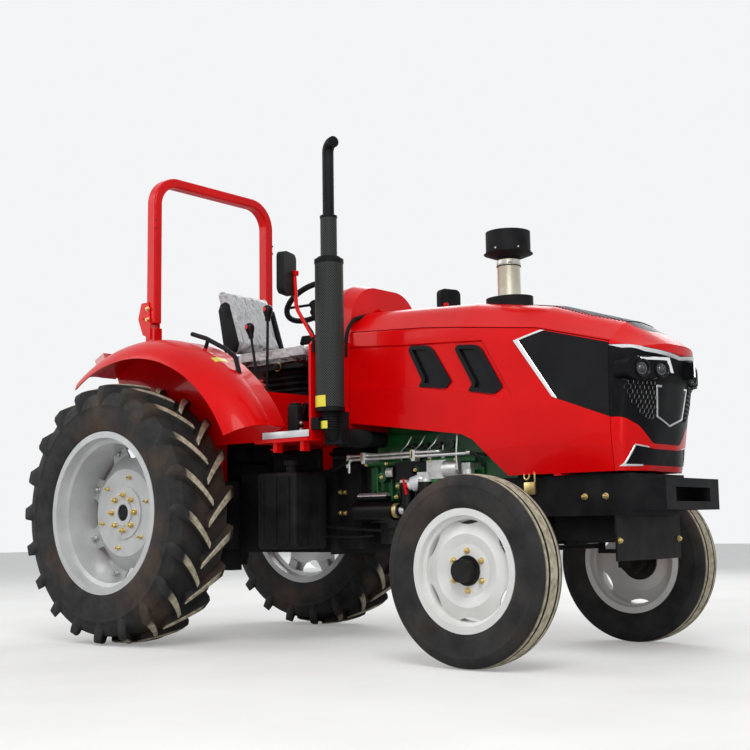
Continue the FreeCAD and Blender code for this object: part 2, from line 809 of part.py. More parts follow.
def front_bumper():
    body = box(RAIL_FRONT_X, BUMPER_FACE_X, -BUMPER_HALF, BUMPER_HALF, BUMPER_LOW_Z, BUMPER_TOP_Z)
    pocket = box(
        BUMPER_FACE_X - BUMPER_POCKET_DEPTH,
        BUMPER_FACE_X,
        -BUMPER_POCKET_HALF,
        BUMPER_POCKET_HALF,
        BUMPER_POCKET_LOW,
        BUMPER_POCKET_TOP,
    )
    return body.cut(pocket)


def radiator_guard():
    plate = box(GUARD_X, GUARD_X + GUARD_T, -GUARD_HALF, GUARD_HALF, GUARD_LOW_Z, RAIL_LOW_Z)
    brace = box(
        GUARD_X - 120, GUARD_X, -GUARD_T, GUARD_T, GUARD_LOW_Z + 60, RAIL_LOW_Z
    )
    return joined([plate, brace])


# Engine, gearbox and rear axle
def engine():
    half = ENGINE_HALF
    pieces = [
        box(ENGINE_REAR_X + 60, ENGINE_FRONT_X - 140, -half + 40, half - 40, ENGINE_SUMP_Z, ENGINE_BLOCK_Z),
        box(ENGINE_REAR_X, ENGINE_FRONT_X, -half, half, ENGINE_BLOCK_Z, ENGINE_HEAD_Z),
        box(ENGINE_REAR_X + 40, ENGINE_FRONT_X - 60, -half + 50, half - 50, ENGINE_HEAD_Z, ENGINE_TOP_Z - 60),
        box(ENGINE_REAR_X + 80, ENGINE_FRONT_X - 120, -half + 90, half - 90, ENGINE_TOP_Z - 60, ENGINE_TOP_Z),
    ]
    rib_count = 7
    pitch = (RAIL_REAR_X - ENGINE_REAR_X - 120) / (rib_count - 1)
    for side in SIDES.values():
        for index in range(rib_count):
            x = ENGINE_REAR_X + 50 + index * pitch
            out = side * (half + ENGINE_RIB)
            pieces.append(box(x, x + 16, side * half, out, ENGINE_BLOCK_Z + 40, ENGINE_HEAD_Z - 30))
        for start, end, low, high, out in ENGINE_COVERS:
            corners = ((start, low), (end, low), (end, high), (start, high))
            outline = [V(engine_side_x(share), side * (half - 1), z) for share, z in corners]
            pieces.append(soft_plate(outline, 0.2, V(0, side * (out + 1), 0)))
        for index in range(VALVE_COUNT):
            port = V(injector_x(index), side * (half - 51), INJECTOR_Z)
            pieces.append(rod(port, port + V(0, side * (INJECTOR_NUT + 1), 0), INJECTOR_NUT))
    return joined(pieces)


def engine_side_x(share):
    """A place along the engine's open side, from the bell housing to the frame rails."""
    return ENGINE_REAR_X + share * (RAIL_REAR_X - ENGINE_REAR_X)


def injection_pump(y):
    """The pump along the block, its delivery valves on top and a steel pipe from each to the head."""
    rear = engine_side_x(PUMP_SPAN[0])
    front = engine_side_x(PUMP_SPAN[1])
    nose = V(front, y - 60, PUMP_TOP_Z - 50)
    pieces = [
        box(rear, front, y, y - PUMP_OUT, PUMP_LOW_Z, PUMP_TOP_Z),
        rod(nose, nose + X_AXIS * 90, PUMP_TOP_Z - PUMP_LOW_Z - 50),
        rod(V(rear - 46, y - 50, PUMP_LOW_Z + 44), V(rear, y - 50, PUMP_LOW_Z + 44), 36),
    ]
    for index in range(VALVE_COUNT):
        x = injector_x(index)
        foot = V(x, y - 26, PUMP_TOP_Z)
        pieces.append(rod(foot - Z_AXIS, foot + Z_AXIS * 24, 11))
        path = [foot + Z_AXIS * 20, V(x, y - 26, INJECTOR_Z), V(x, 50 - ENGINE_HALF - INJECTOR_NUT, INJECTOR_Z)]
        pieces.append(pipe_path(path, INJECTOR_PIPE_R, 14))
    return joined(pieces)


def can(x, y, low, high, radius):
    """A filter or separator can with a domed foot, its head and the arm that carries it on the block."""
    foot = V(x, y - radius - 14, low)
    body = rod(foot, V(foot.x, foot.y, high), radius)
    dome = Part.makeCone(radius * 0.55, radius, 16, foot - Z_AXIS * 16)
    head = box(x - radius * 0.8, x + radius * 0.8, y, foot.y - radius * 0.6, high, high + 34)
    return joined([body, dome, head])


def injector_x(index):
    """The place of one injector's pipe, above its valve on the pump."""
    rear = engine_side_x(PUMP_SPAN[0])
    front = engine_side_x(PUMP_SPAN[1])
    return rear + (front - rear) * (index + 0.5) / VALVE_COUNT


def engine_fittings():
    half = ENGINE_HALF + ENGINE_RIB
    y = -half
    start = engine_side_x(STARTER_SPAN[0])
    nose = engine_side_x(STARTER_SPAN[1])
    out = y - STARTER_OUT
    coil_z = STARTER_Z + STARTER_R + 20
    starter = joined(
        [
            rod(V(start, out, STARTER_Z), V(nose, out, STARTER_Z), STARTER_R),
            rod(V(nose, out, STARTER_Z), V(nose + 44, out, STARTER_Z), STARTER_R * 0.65),
            rod(V(start + 20, out, coil_z), V(nose - 40, out, coil_z), STARTER_COIL_R),
            box(start + 20, start + 120, y, y - 60, STARTER_Z - 32, STARTER_Z + 28),
        ]
    )
    cans = [can(engine_side_x(share), y, low, high, radius) for share, low, high, radius in CANS]
    dynamo_rear = engine_side_x(DYNAMO_SPAN[0])
    dynamo_front = engine_side_x(DYNAMO_SPAN[1])
    alternator = joined(
        [
            rod(V(dynamo_rear, DYNAMO_Y, DYNAMO_Z), V(dynamo_front, DYNAMO_Y, DYNAMO_Z), DYNAMO_R),
            box(
                dynamo_rear + 20, dynamo_front - 20, DYNAMO_Y - 60, DYNAMO_Y - 20,
                ENGINE_HEAD_Z, DYNAMO_Z - 22,
            ),
        ]
    )
    pipes = []
    for start_x, end_share, z, drop in FUEL_PIPES:
        out = y - 96 - (drop - 60)
        end_x = engine_side_x(end_share)
        path = [V(start_x, out, z - drop), V(start_x, out, z), V(end_x, out, z), V(end_x, 50 - ENGINE_HALF, z)]
        pipes.append(pipe_path(path, FUEL_PIPE_R, 3 * FUEL_PIPE_R))
    clamps = []
    for share in PIPE_CLAMPS:
        x = engine_side_x(share)
        clamps.append(box(x, x + 24, y, y - 120, PUMP_TOP_Z - 1, FUEL_PIPES[0][2] + 14))
    return joined([starter, injection_pump(y), alternator] + cans + clamps + pipes)


def radiator():
    back = RADIATOR_X
    front = back + RADIATOR_DEPTH
    core = box(back, front, -RADIATOR_HALF, RADIATOR_HALF, RAIL_TOP_Z + RADIATOR_FOOT, RADIATOR_TOP_Z)
    feet = []
    for side in SIDES.values():
        feet.append(
            box(
                back - 10, front + 10, side * RAIL_INNER_Y, side * (RAIL_OUTER_Y - 5),
                RAIL_TOP_Z, RAIL_TOP_Z + RADIATOR_FOOT,
            )
        )
    fan_front = back - 100
    fan_rear = fan_front - 40
    fan = rod(V(fan_rear, 0, FAN_Z), V(fan_front, 0, FAN_Z), FAN_R)
    shaft = rod(V(fan_front, 0, FAN_Z), V(back, 0, FAN_Z), 40)
    drive = rod(V(ENGINE_FRONT_X, 0, FAN_Z), V(fan_rear, 0, FAN_Z), 40)
    bracket = box(ENGINE_FRONT_X, ENGINE_FRONT_X + 60, -60, 60, ENGINE_HEAD_Z - 85, FAN_Z)
    return joined([core, fan, shaft, drive, bracket] + feet)


def gearbox_housing():
    half = GEARBOX_HALF
    pieces = [
        box(AXLE_CASE_FRONT_X, BELL_REAR_X, -half, half, GEARBOX_LOW_Z, GEARBOX_TOP_Z),
        plate_xy(
            [
                (BELL_REAR_X, -half),
                (ENGINE_REAR_X, -half - 55),
                (ENGINE_REAR_X, half + 55),
                (BELL_REAR_X, half),
            ],
            GEARBOX_LOW_Z + 20,
            GEARBOX_TOP_Z + 20,
        ),
        box(BELL_REAR_X - 24, BELL_REAR_X + 24, -half - 40, half + 40, GEARBOX_LOW_Z - 10, GEARBOX_TOP_Z + 10),
        box(420, 760, -90, 90, GEARBOX_TOP_Z, GEARBOX_TOP_Z + 90),
    ]
    return joined(pieces)


def rear_axle_housing():
    half = AXLE_CASE_HALF
    at = V(0, 0, REAR_TYRE_R)
    pieces = [
        box(AXLE_CASE_REAR_X, AXLE_CASE_FRONT_X, -half, half, AXLE_CASE_LOW_Z, AXLE_CASE_TOP_Z - 120),
        box(AXLE_CASE_REAR_X + 20, 180, -170, 170, AXLE_CASE_TOP_Z - 120, AXLE_CASE_TOP_Z),
        rod(at - Y_AXIS * TRUMPET_END_Y, at + Y_AXIS * TRUMPET_END_Y, TRUMPET_R),
    ]
    for side in SIDES.values():
        near = at + Y_AXIS * side * half
        pieces.append(rod(near, near + Y_AXIS * side * 40, TRUMPET_R + 45))
        far = at + Y_AXIS * side * (TRUMPET_END_Y - 40)
        pieces.append(rod(far, far + Y_AXIS * side * 40, TRUMPET_R + 22))
        pieces.append(
            box(
                LINK_PIVOT_X - 42, LINK_PIVOT_X + 42, side * 150, side * (LINK_PIVOT_Y - 15),
                LINK_PIVOT_Z - 40, AXLE_CASE_LOW_Z + 60,
            )
        )
        pin = V(LINK_PIVOT_X, side * 200, LINK_PIVOT_Z)
        pieces.append(rod(pin, pin + Y_AXIS * side * (LINK_PIVOT_Y + 20 - 200), 14))
    pieces.append(box(TOP_LINK_X - 26, AXLE_CASE_REAR_X, -52, -34, TOP_LINK_Z - 34, TOP_LINK_Z + 34))
    pieces.append(box(TOP_LINK_X - 26, AXLE_CASE_REAR_X, 34, 52, TOP_LINK_Z - 34, TOP_LINK_Z + 34))
    pieces.append(rod(V(TOP_LINK_X, -52, TOP_LINK_Z), V(TOP_LINK_X, 52, TOP_LINK_Z), TOP_LINK_BORE_R - 0.5))
    whole = joined(pieces)
    lift = V(LIFT_SHAFT_X, -400, LIFT_SHAFT_Z)
    whole = whole.cut(rod(lift, lift + Y_AXIS * 800, LIFT_SHAFT_R + SEAT_GAP))
    for side in SIDES.values():
        end = at + Y_AXIS * side * (TRUMPET_END_Y + 1)
        whole = whole.cut(rod(end, end - Y_AXIS * side * (REAR_SHAFT_IN + 10), REAR_SHAFT_R + SEAT_GAP))
    pto = V(AXLE_CASE_REAR_X - 1, 0, PTO_Z)
    return whole.cut(rod(pto, pto + X_AXIS * 61, PTO_R + 8 + SEAT_GAP))


def pto_shaft():
    root = V(AXLE_CASE_REAR_X + 60, 0, PTO_Z)
    thick = rod(root, V(AXLE_CASE_REAR_X - 6, 0, PTO_Z), PTO_R + 8)
    core = rod(root, V(AXLE_CASE_REAR_X - 6 - PTO_LENGTH, 0, PTO_Z), PTO_R)
    spline_count = 6
    cuts = []
    for index in range(spline_count):
        slot = box(
            AXLE_CASE_REAR_X - 8 - PTO_LENGTH, AXLE_CASE_REAR_X - 14, -4, 4, PTO_R - 4, PTO_R + 4
        )
        slot.rotate(V(0, 0, 0), X_AXIS, 360 / spline_count * index)
        slot.translate(V(0, 0, PTO_Z))
        cuts.append(slot)
    return joined([thick, core]).cut(Part.makeCompound(cuts))


def drawbar():
    z0 = DRAWBAR_Z - DRAWBAR_T / 2
    z1 = DRAWBAR_Z + DRAWBAR_T / 2
    bar = box(DRAWBAR_END_X, 60, -DRAWBAR_HALF, DRAWBAR_HALF, z0, z1)
    hanger_front = box(-20, 60, -90, 90, z1, AXLE_CASE_LOW_Z)
    hanger_rear = box(AXLE_CASE_REAR_X + 10, AXLE_CASE_REAR_X + 60, -90, 90, z1, AXLE_CASE_LOW_Z)
    whole = joined([bar, hanger_front, hanger_rear])
    foot = V(DRAWBAR_END_X + 45, 0, z0 - 1)
    return whole.cut(rod(foot, foot + Z_AXIS * (DRAWBAR_T + 2), DRAWBAR_HOLE_R))


# Three point hitch
def link_point(share):
    """A point on the left lower link, share 0 at its pivot and 1 at its ball."""
    start = V(LINK_PIVOT_X, LINK_PIVOT_Y, LINK_PIVOT_Z)
    end = V(HITCH_PIN_X, LINK_END_Y, LINK_END_Z)
    return start + (end - start) * share


def lower_link():
    start = link_point(0)
    end = link_point(1)
    run = end - start
    bar = Part.makeBox(run.Length, LINK_WIDTH, LINK_DEPTH, V(0, -LINK_WIDTH / 2, -LINK_DEPTH / 2))
    bar.Placement = FreeCAD.Placement(start, FreeCAD.Rotation(run, Z_AXIS.cross(run), Z_AXIS, "XZY"))
    pieces = [bar]
    pieces.append(rod(start - Y_AXIS * 12, start + Y_AXIS * 12, 34))
    pieces.append(rod(end - Y_AXIS * 22, end + Y_AXIS * 22, HITCH_EYE_R))
    rod_at = link_point(ROD_SPOT)
    whole = joined(pieces)
    pin = rod(rod_at + Y_AXIS * 4, rod_at - Y_AXIS * 44, 11)
    whole = joined([whole, pin])
    whole = whole.cut(rod(start - Y_AXIS * 30, start + Y_AXIS * 30, 14 + SEAT_GAP))
    return whole.cut(rod(end - Y_AXIS * 30, end + Y_AXIS * 30, LINK_EYE_BORE_R))


def lift_arm_end():
    """The arm is as long as the link from pivot to rod, and parallel to it."""
    reach = link_point(ROD_SPOT) - link_point(0)
    return V(LIFT_SHAFT_X + reach.x, LIFT_ARM_Y, LIFT_SHAFT_Z + reach.z)


def lift_arms():
    pieces = [rod(V(LIFT_SHAFT_X, -300, LIFT_SHAFT_Z), V(LIFT_SHAFT_X, 300, LIFT_SHAFT_Z), LIFT_SHAFT_R)]
    end = lift_arm_end()
    for side in SIDES.values():
        y = side * LIFT_ARM_Y
        pieces.append(rod(V(LIFT_SHAFT_X, y - 20, LIFT_SHAFT_Z), V(LIFT_SHAFT_X, y + 20, LIFT_SHAFT_Z), 52))
        pieces.append(
            plate_xz(
                [
                    (LIFT_SHAFT_X + 6, LIFT_SHAFT_Z - 40),
                    (LIFT_SHAFT_X - 6, LIFT_SHAFT_Z + 48),
                    (end.x, end.z + 24),
                    (end.x, end.z - 24),
                ],
                y - 14,
                y + 14,
            )
        )
        pieces.append(rod(V(end.x, y - 14, end.z), V(end.x, y + 14, end.z), 26))
        pieces.append(rod(V(end.x, y, end.z), V(end.x, y + side * 44, end.z), 12))
    return joined(pieces)


def lift_rods():
    end = lift_arm_end()
    low = link_point(ROD_SPOT)
    solids = []
    for side in SIDES.values():
        y = side * (LIFT_ARM_Y + 30)
        top = V(end.x, y, end.z)
        foot = V(low.x, y, low.z)
        along = (foot - top).normalize()
        piece = joined(
            [
                rod(top, foot, 13),
                rod(top + along * 120, top + along * 330, 21),
                rod(top - Y_AXIS * 12, top + Y_AXIS * 12, 24),
                rod(foot - Y_AXIS * 12, foot + Y_AXIS * 12, 24),
            ]
        )
        piece = piece.cut(rod(top - Y_AXIS * 20, top + Y_AXIS * 20, 12 + SEAT_GAP))
        piece = piece.cut(rod(foot - Y_AXIS * 20, foot + Y_AXIS * 20, 11 + 1))
        solids.append(piece)
    return apart(solids)


def lower_links():
    left = lower_link()
    return apart([left, mirrored(left)])


def top_link():
    drop = math.radians(TOP_LINK_DROP_DEG)
    start = V(TOP_LINK_X, 0, TOP_LINK_Z)
    along = V(-math.cos(drop), 0, -math.sin(drop))
    end = start + along * TOP_LINK_LENGTH
    pieces = [
        rod(start, end, 13),
        rod(start + along * 130, start + along * 390, 22),
        rod(start - Y_AXIS * 22, start + Y_AXIS * 22, 27),
        rod(end - Y_AXIS * 22, end + Y_AXIS * 22, 27),
    ]
    whole = joined(pieces)
    whole = whole.cut(rod(start - Y_AXIS * 30, start + Y_AXIS * 30, TOP_LINK_BORE_R))
    return whole.cut(rod(end - Y_AXIS * 30, end + Y_AXIS * 30, TOP_LINK_BORE_R))


# Bonnet: a body along X cut by a plan outline for the nose.
# Each x in these tables runs from the bonnet's rear edge, on a bonnet BONNET_DRAWN long to the nose seam.
# Columns: x, half width at the bottom, at the lower crease, at the seam and at the shoulder,
# then the heights of lower crease, upper crease, seam, shoulder and crown.
BONNET_SECTIONS = [
    (0, 318, 332, 322, 185, 1394, 1631, 1700, 1826, 1846),
    (744, 318, 334, 322, 180, 1300, 1590, 1643, 1785, 1803),
    (1204, 318, 336, 320, 172, 1185, 1530, 1588, 1712, 1730),
    (1594, 310, 334, 312, 150, 1129, 1420, 1485, 1592, 1606),
    (1844, 300, 320, 290, 120, 1060, 1330, 1390, 1432, 1440),
]
BONNET_FLOOR_Z = 878
# How much of its shorter run the arc over the crown and the arcs round the nose take up
CROWN_SHARE = 0.4
NOSE_SHARE = 0.48
# Columns: z, rear half width of the nose, x and y of its corner, x and y of its front flat
NOSE_PLANS = [
    (860, 300, 1629, 292, 1689, 180),
    (1014, 325, 1649, 318, 1710, 150),
    (1290, 340, 1679, 338, 1754, 150),
    (1428, 340, 1709, 318, 1798, 120),
    (1900, 340, 1734, 300, 1814, 110),
]


def bonnet_x(x):
    """An x of the bonnet's tables, put on this bonnet: the nose keeps its length, the rest stretches."""
    if x > BONNET_DRAWN:
        return NOSE_SEAM_X + x - BONNET_DRAWN
    return BONNET_REAR_X + x * (NOSE_SEAM_X - BONNET_REAR_X) / BONNET_DRAWN


def bonnet_outline(points):
    return [(bonnet_x(x), z) for x, z in points]


def bonnet_body(inset):
    """The bonnet's outer form, drawn in by a layer on every skin."""
    sections = []
    side_shares = [0, 0, 0.1, 0.3, 0.2, 0.35]
    section_shares = side_shares + [CROWN_SHARE] + side_shares[::-1]
    for x, bottom, low, seam, shoulder, z_low, z_high, z_seam, z_shoulder, z_crown in BONNET_SECTIONS:
        half = [
            (bottom - inset, BONNET_FLOOR_Z - 178),
            (bottom - inset, BONNET_FLOOR_Z - 10),
            (low - inset, z_low),
            (low - 6 - inset, z_high),
            (seam - inset, z_seam - inset * 0.4),
            (shoulder - inset * 0.5, z_shoulder - inset),
        ]
        at = bonnet_x(x)
        points = [V(at, -y, z) for y, z in half]
        points.append(V(at, 0, z_crown - inset))
        points += [V(at, y, z) for y, z in half[::-1]]
        sections.append(soft_wire(points, section_shares))
    lengthwise = Part.makeLoft(sections, True, True)
    plans = []
    plan_shares = [0, 0, NOSE_SHARE, NOSE_SHARE, NOSE_SHARE, NOSE_SHARE, 0, 0]
    for z, half, drawn_corner, corner_y, drawn_front, front_y in NOSE_PLANS:
        corner_x = bonnet_x(drawn_corner)
        front_x = bonnet_x(drawn_front)
        outline = [
            (BONNET_REAR_X, -half + inset),
            (NOSE_SEAM_X, -half + inset),
            (corner_x - inset * 0.4, -corner_y + inset),
            (front_x - inset, -front_y + inset * 0.3),
            (front_x - inset, front_y - inset * 0.3),
            (corner_x - inset * 0.4, corner_y - inset),
            (NOSE_SEAM_X, half - inset),
            (BONNET_REAR_X, half - inset),
        ]
        plans.append(soft_wire([V(x, y, z) for x, y in outline], plan_shares))
    return lengthwise.common(Part.makeLoft(plans, True, True))


# Outline of the bonnet's lower edge, seen from the side, as (x, z)
LOWER_EDGE = [(-96, 1212), (743, 1097), (813, 1064), (1006, 878), (1904, 878)]
# Seam between side panels and lid, as (x, z)
SEAM_LINE = [(-96, 1704), (498, 1668), (744, 1641), (1204, 1586), (1594, 1483)]
# Sunk field round the vents on each side panel, at the outer skin and at its floor, as (x, z)
FIELD = [
    (-40, 1640), (386, 1602), (672, 1586), (895, 1571),
    (1066, 1278), (1030, 1256), (800, 1300), (475, 1350), (-40, 1394),
]
FIELD_FLOOR = [
    (-40, 1612), (384, 1580), (668, 1564), (876, 1551),
    (1040, 1280), (1024, 1266), (800, 1308), (475, 1358), (-40, 1402),
]
# How far out from the middle the field's two outlines lie
FIELD_OUT_Y = 345
FIELD_FLOOR_Y = 315
# Black wedge ahead of the vents, and the two vents, as (x, z)
WEDGE = [(1071, 1536), (1227, 1574), (1600, 1473), (1600, 1125), (1290, 1241)]
VENTS = [
    [(398, 1582), (560, 1568), (691, 1369), (656, 1335), (478, 1357), (502, 1391)],
    [(701, 1554), (866, 1540), (1006, 1312), (952, 1282), (794, 1310), (823, 1343)],
]
VENT_FRAME = 22
# Headlamp pod on the left as (y, z), and its face's turn from straight ahead, through its outer corner
POD = [(352, 1308), (352, 1372), (318, 1396), (104, 1400), (84, 1380), (90, 1318), (300, 1288)]
POD_REAR = 40
POD_REACH = 200
POD_FRONT = 112
LAMP_Z = 1343
POD_TURN_DEG = 23
# Columns: y and radius of the lamps in a pod
LAMPS = [(272, 38), (168, 36)]
LAMP_SUNK = 4
LAMP_T = 14
LAMP_RECESS = 30
# Black mask between the headlamps and the insert under it, seen from the front, as (y, z)
MASK = [
    (-345, 1474), (-345, 1131), (-235, 1085), (-132, 1004), (132, 1004), (235, 1085),
    (345, 1131), (345, 1474), (250, 1446), (0, 1418), (-250, 1446),
]
NOSE_INSERT = [(-245, 996), (-292, 903), (292, 903), (245, 996), (120, 980), (-120, 980)]


def vent_frame(points):
    """The middle of a vent's outline, inside its frame."""
    wire = soft_wire([V(x, 0, z) for x, z in points], [0.25] * len(points))
    return Part.Face(wire).makeOffset2D(-VENT_FRAME, 0, False, False, True)


def bonnet_parts():
    outer = bonnet_body(0)
    middle = bonnet_body(BONNET_SKIN)
    inner = bonnet_body(BONNET_WALL)
    vent_body = bonnet_body(VENT_DEPTH)
    below = bonnet_outline(LOWER_EDGE + [(1904, 500), (-96, 500)])
    edge_cut = plate_xz(below, -500, 500)
    shell = outer.cut(inner).cut(edge_cut)
    skin = outer.cut(middle).cut(edge_cut)
    gap = PANEL_GAP
    seam_line = bonnet_outline(SEAM_LINE)
    side_end = NOSE_SEAM_X - 3
    side_start = BONNET_REAR_X - 96
    side_zone = plate_xz(
        [(x, z - gap / 2) for x, z in seam_line] + [(side_end, 500), (side_start, 500)], -500, 500
    ).cut(box(side_start, side_end, -180, 180, 500, 1650))
    seam_last = seam_line[-1]
    nose_start = NOSE_SEAM_X + 2
    nose_end = NOSE_SEAM_X + 310
    lid_zone = plate_xz(
        [(x, z + gap / 2) for x, z in seam_line]
        + [(nose_start, seam_last[1]), (nose_start, 500), (nose_end, 500)]
        + [(nose_end, 2000), (side_start, 2000)],
        -500,
        500,
    )
    sides = shell.common(side_zone)
    lid = shell.common(lid_zone)
    wedge_zone = plate_xz(bonnet_outline(WEDGE), -500, 500)
    wedges = skin.common(wedge_zone).common(side_zone)
    sides = sides.cut(wedges)
    field = outer.cut(middle)
    for side in SIDES.values():
        ends = []
        for outline, y in ((FIELD, FIELD_OUT_Y), (FIELD_FLOOR, FIELD_FLOOR_Y)):
            ends.append(Part.makePolygon([V(x, side * y, z) for x, z in bonnet_outline(outline + outline[:1])]))
        sides = sides.cut(field.common(Part.makeLoft(ends, True, True)))
    vent_shapes = []
    openings = []
    for points in VENTS:
        outline = bonnet_outline(points)
        whole = soft_plate([V(x, -500, z) for x, z in outline], 0.25, V(0, 1000, 0))
        opening = vent_frame(outline).extrude(V(0, 1000, 0))
        opening.translate(V(0, -500, 0))
        vent_shapes.append(whole)
        openings.append(opening)
    vent_zone = Part.makeCompound(vent_shapes)
    sunk = outer.cut(vent_body).common(Part.makeCompound(openings))
    vents = shell.common(vent_zone).cut(sunk)
    sides = sides.cut(vent_zone)
    mask_zone = Part.Face(
        soft_wire([V(nose_start - 1, y, z) for y, z in MASK], [0.12] * len(MASK))
    ).extrude(V(nose_end - nose_start, 0, 0))
    mask = skin.common(mask_zone)
    lid = lid.cut(mask_zone.common(skin))
    insert_zone = plate_yz(NOSE_INSERT, nose_start - 1, nose_end)
    insert = skin.common(insert_zone)
    lid = lid.cut(insert_zone.common(skin))
    grille_rear = bonnet_x(1054)
    grille_front = bonnet_x(1684)
    top_zone = soft_plate(
        [
            V(grille_rear, -90, 1300), V(grille_front, -140, 1300),
            V(grille_front, 140, 1300), V(grille_rear, 90, 1300),
        ],
        0.3,
        V(0, 0, 700),
    )
    top_grille = outer.cut(bonnet_body(GRILLE_SKIN)).common(top_zone).common(lid_zone)
    lid = lid.cut(top_grille)
    return {
        "sides": sides,
        "side_grilles": [wedges, vents],
        "lid": lid,
        "nose_grilles": [mask, insert, top_grille],
        "outer": outer,
    }


def side_panels(parts):
    """Both side panels, with the brackets that carry them on the firewall and the rails."""
    solids = list(parts["sides"].Solids)
    brackets = []
    panel_foot_x = RADIATOR_X - 140
    for side in SIDES.values():
        foot_in = side * (RAIL_OUTER_Y - 50)
        foot_out = side * 300
        brackets.append(box(panel_foot_x, panel_foot_x + 40, foot_in, foot_out, RAIL_TOP_Z, RAIL_TOP_Z + 12))
    return joined(solids + brackets)


def bonnet_lid(parts):
    """Lid with its hinge knuckles, whose pin runs across above the firewall."""
    pieces = [parts["lid"]]
    bores = []
    for side in SIDES.values():
        ear = side * LID_EAR_Y + 1
        pieces.append(rod(V(LID_HINGE_X, ear, LID_HINGE_Z), V(LID_HINGE_X, ear + 22, LID_HINGE_Z), LID_HINGE_R))
        pieces.append(
            box(
                BONNET_REAR_X + 2, BONNET_REAR_X + 24, ear, ear + 22,
                LID_HINGE_Z - 22, LID_HINGE_Z - LID_PIN_R - 1,
            )
        )
        bore = V(LID_HINGE_X, ear - 20, LID_HINGE_Z)
        bores.append(rod(bore, bore + Y_AXIS * 60, LID_PIN_R + SEAT_GAP))
    return joined(pieces).cut(Part.makeCompound(bores))


def lamp_pods(outer):
    """A black pod at each upper corner of the nose, whose face is turned a little outwards."""
    solids = []
    for side in SIDES.values():
        rear = NOSE_SEAM_X + POD_REAR
        zone = soft_wire([V(rear, side * y, z) for y, z in POD], [0.35] * len(POD))
        pod = Part.Face(zone).extrude(V(POD_REACH, 0, 0))
        ahead = box(0, 2 * POD_REACH, -2 * POD_REACH, 2 * POD_REACH, LAMP_Z - POD_REACH, LAMP_Z + POD_REACH)
        ahead.rotate(V(0, 0, 0), Z_AXIS, side * POD_TURN_DEG)
        ahead.translate(V(NOSE_SEAM_X + POD_FRONT, side * POD[0][0], 0))
        pod = pod.cut(ahead).cut(outer)
        solids.append(largest(pod))
    return solids


def headlamps(reach=0):
    """Two round lamps a side, sunk in the pods; with a reach, the recesses that they stand in."""
    lamps = []
    turn = math.radians(POD_TURN_DEG)
    for side in SIDES.values():
        out = V(math.cos(turn), side * math.sin(turn), 0)
        for y, radius in LAMPS:
            x = NOSE_SEAM_X + POD_FRONT - (y - POD[0][0]) * math.tan(turn)
            at = V(x, side * y, LAMP_Z) - out * LAMP_SUNK
            lamps.append(rod(at - out * LAMP_T, at + out * reach, radius))
    return lamps


def air_precleaner(outer):
    foot = V(CLEANER_X, 0, CLEANER_FOOT_Z)
    pipe = rod(foot, V(CLEANER_X, 0, CLEANER_CAP_LOW_Z), CLEANER_PIPE_R)
    ring = Part.makeCylinder(105, 150, foot)
    stretched = FreeCAD.Matrix()
    stretched.scale(1.25, 1, 1)
    ring.translate(V(-CLEANER_X, 0, 0))
    ring = ring.transformGeometry(stretched)
    ring.translate(V(CLEANER_X, 0, 0))
    ring = ring.common(box(CLEANER_X - 300, CLEANER_X + 300, -300, 300, CLEANER_FOOT_Z, CLEANER_FOOT_Z + 122))
    lip_top = V(CLEANER_X, 0, CLEANER_CAP_LOW_Z + CLEANER_LIP_H)
    cap = Part.makeCylinder(CLEANER_CAP_R, CLEANER_TOP_Z - lip_top.z, lip_top)
    lip = Part.makeCone(CLEANER_PIPE_R + 14, CLEANER_LIP_R, CLEANER_LIP_H, V(CLEANER_X, 0, CLEANER_CAP_LOW_Z))
    return joined([pipe, cap, lip, ring]).cut(outer)


# Exhaust
def exhaust_stack():
    at = V(STACK_X, STACK_Y, 0)
    muffler = rod(at + Z_AXIS * STACK_LOW_Z, at + Z_AXIS * STACK_MUFFLER_TOP_Z, STACK_MUFFLER_R)
    sleeve = rod(at + Z_AXIS * STACK_MUFFLER_TOP_Z, at + Z_AXIS * STACK_SLEEVE_TOP_Z, STACK_SLEEVE_R)
    top = STACK_TOP_Z - STACK_PIPE_R
    path = [
        at + Z_AXIS * STACK_SLEEVE_TOP_Z,
        at + Z_AXIS * top,
        at + V(60, -20, top),
    ]
    pipe = pipe_path(path, STACK_PIPE_R, 44)
    low = [
        at + Z_AXIS * STACK_LOW_Z,
        at + Z_AXIS * 1110,
        V(STACK_X, -(ENGINE_HALF - 50), 1110),
    ]
    elbow = pipe_path(low, 42, 70)
    bracket = box(STACK_X - 130, STACK_X - 30, STACK_Y - 60, STACK_Y + 90, 1150, 1210)
    bracket = bracket.cut(box(STACK_X - 200, FIREWALL_X + FIREWALL_T, -700, 0, 1100, 1300))
    post = box(STACK_X - 60, STACK_X + 60, STACK_Y + 20, STACK_Y + 80, 1070, 1240)
    return joined([muffler, sleeve, pipe, elbow, bracket, post])


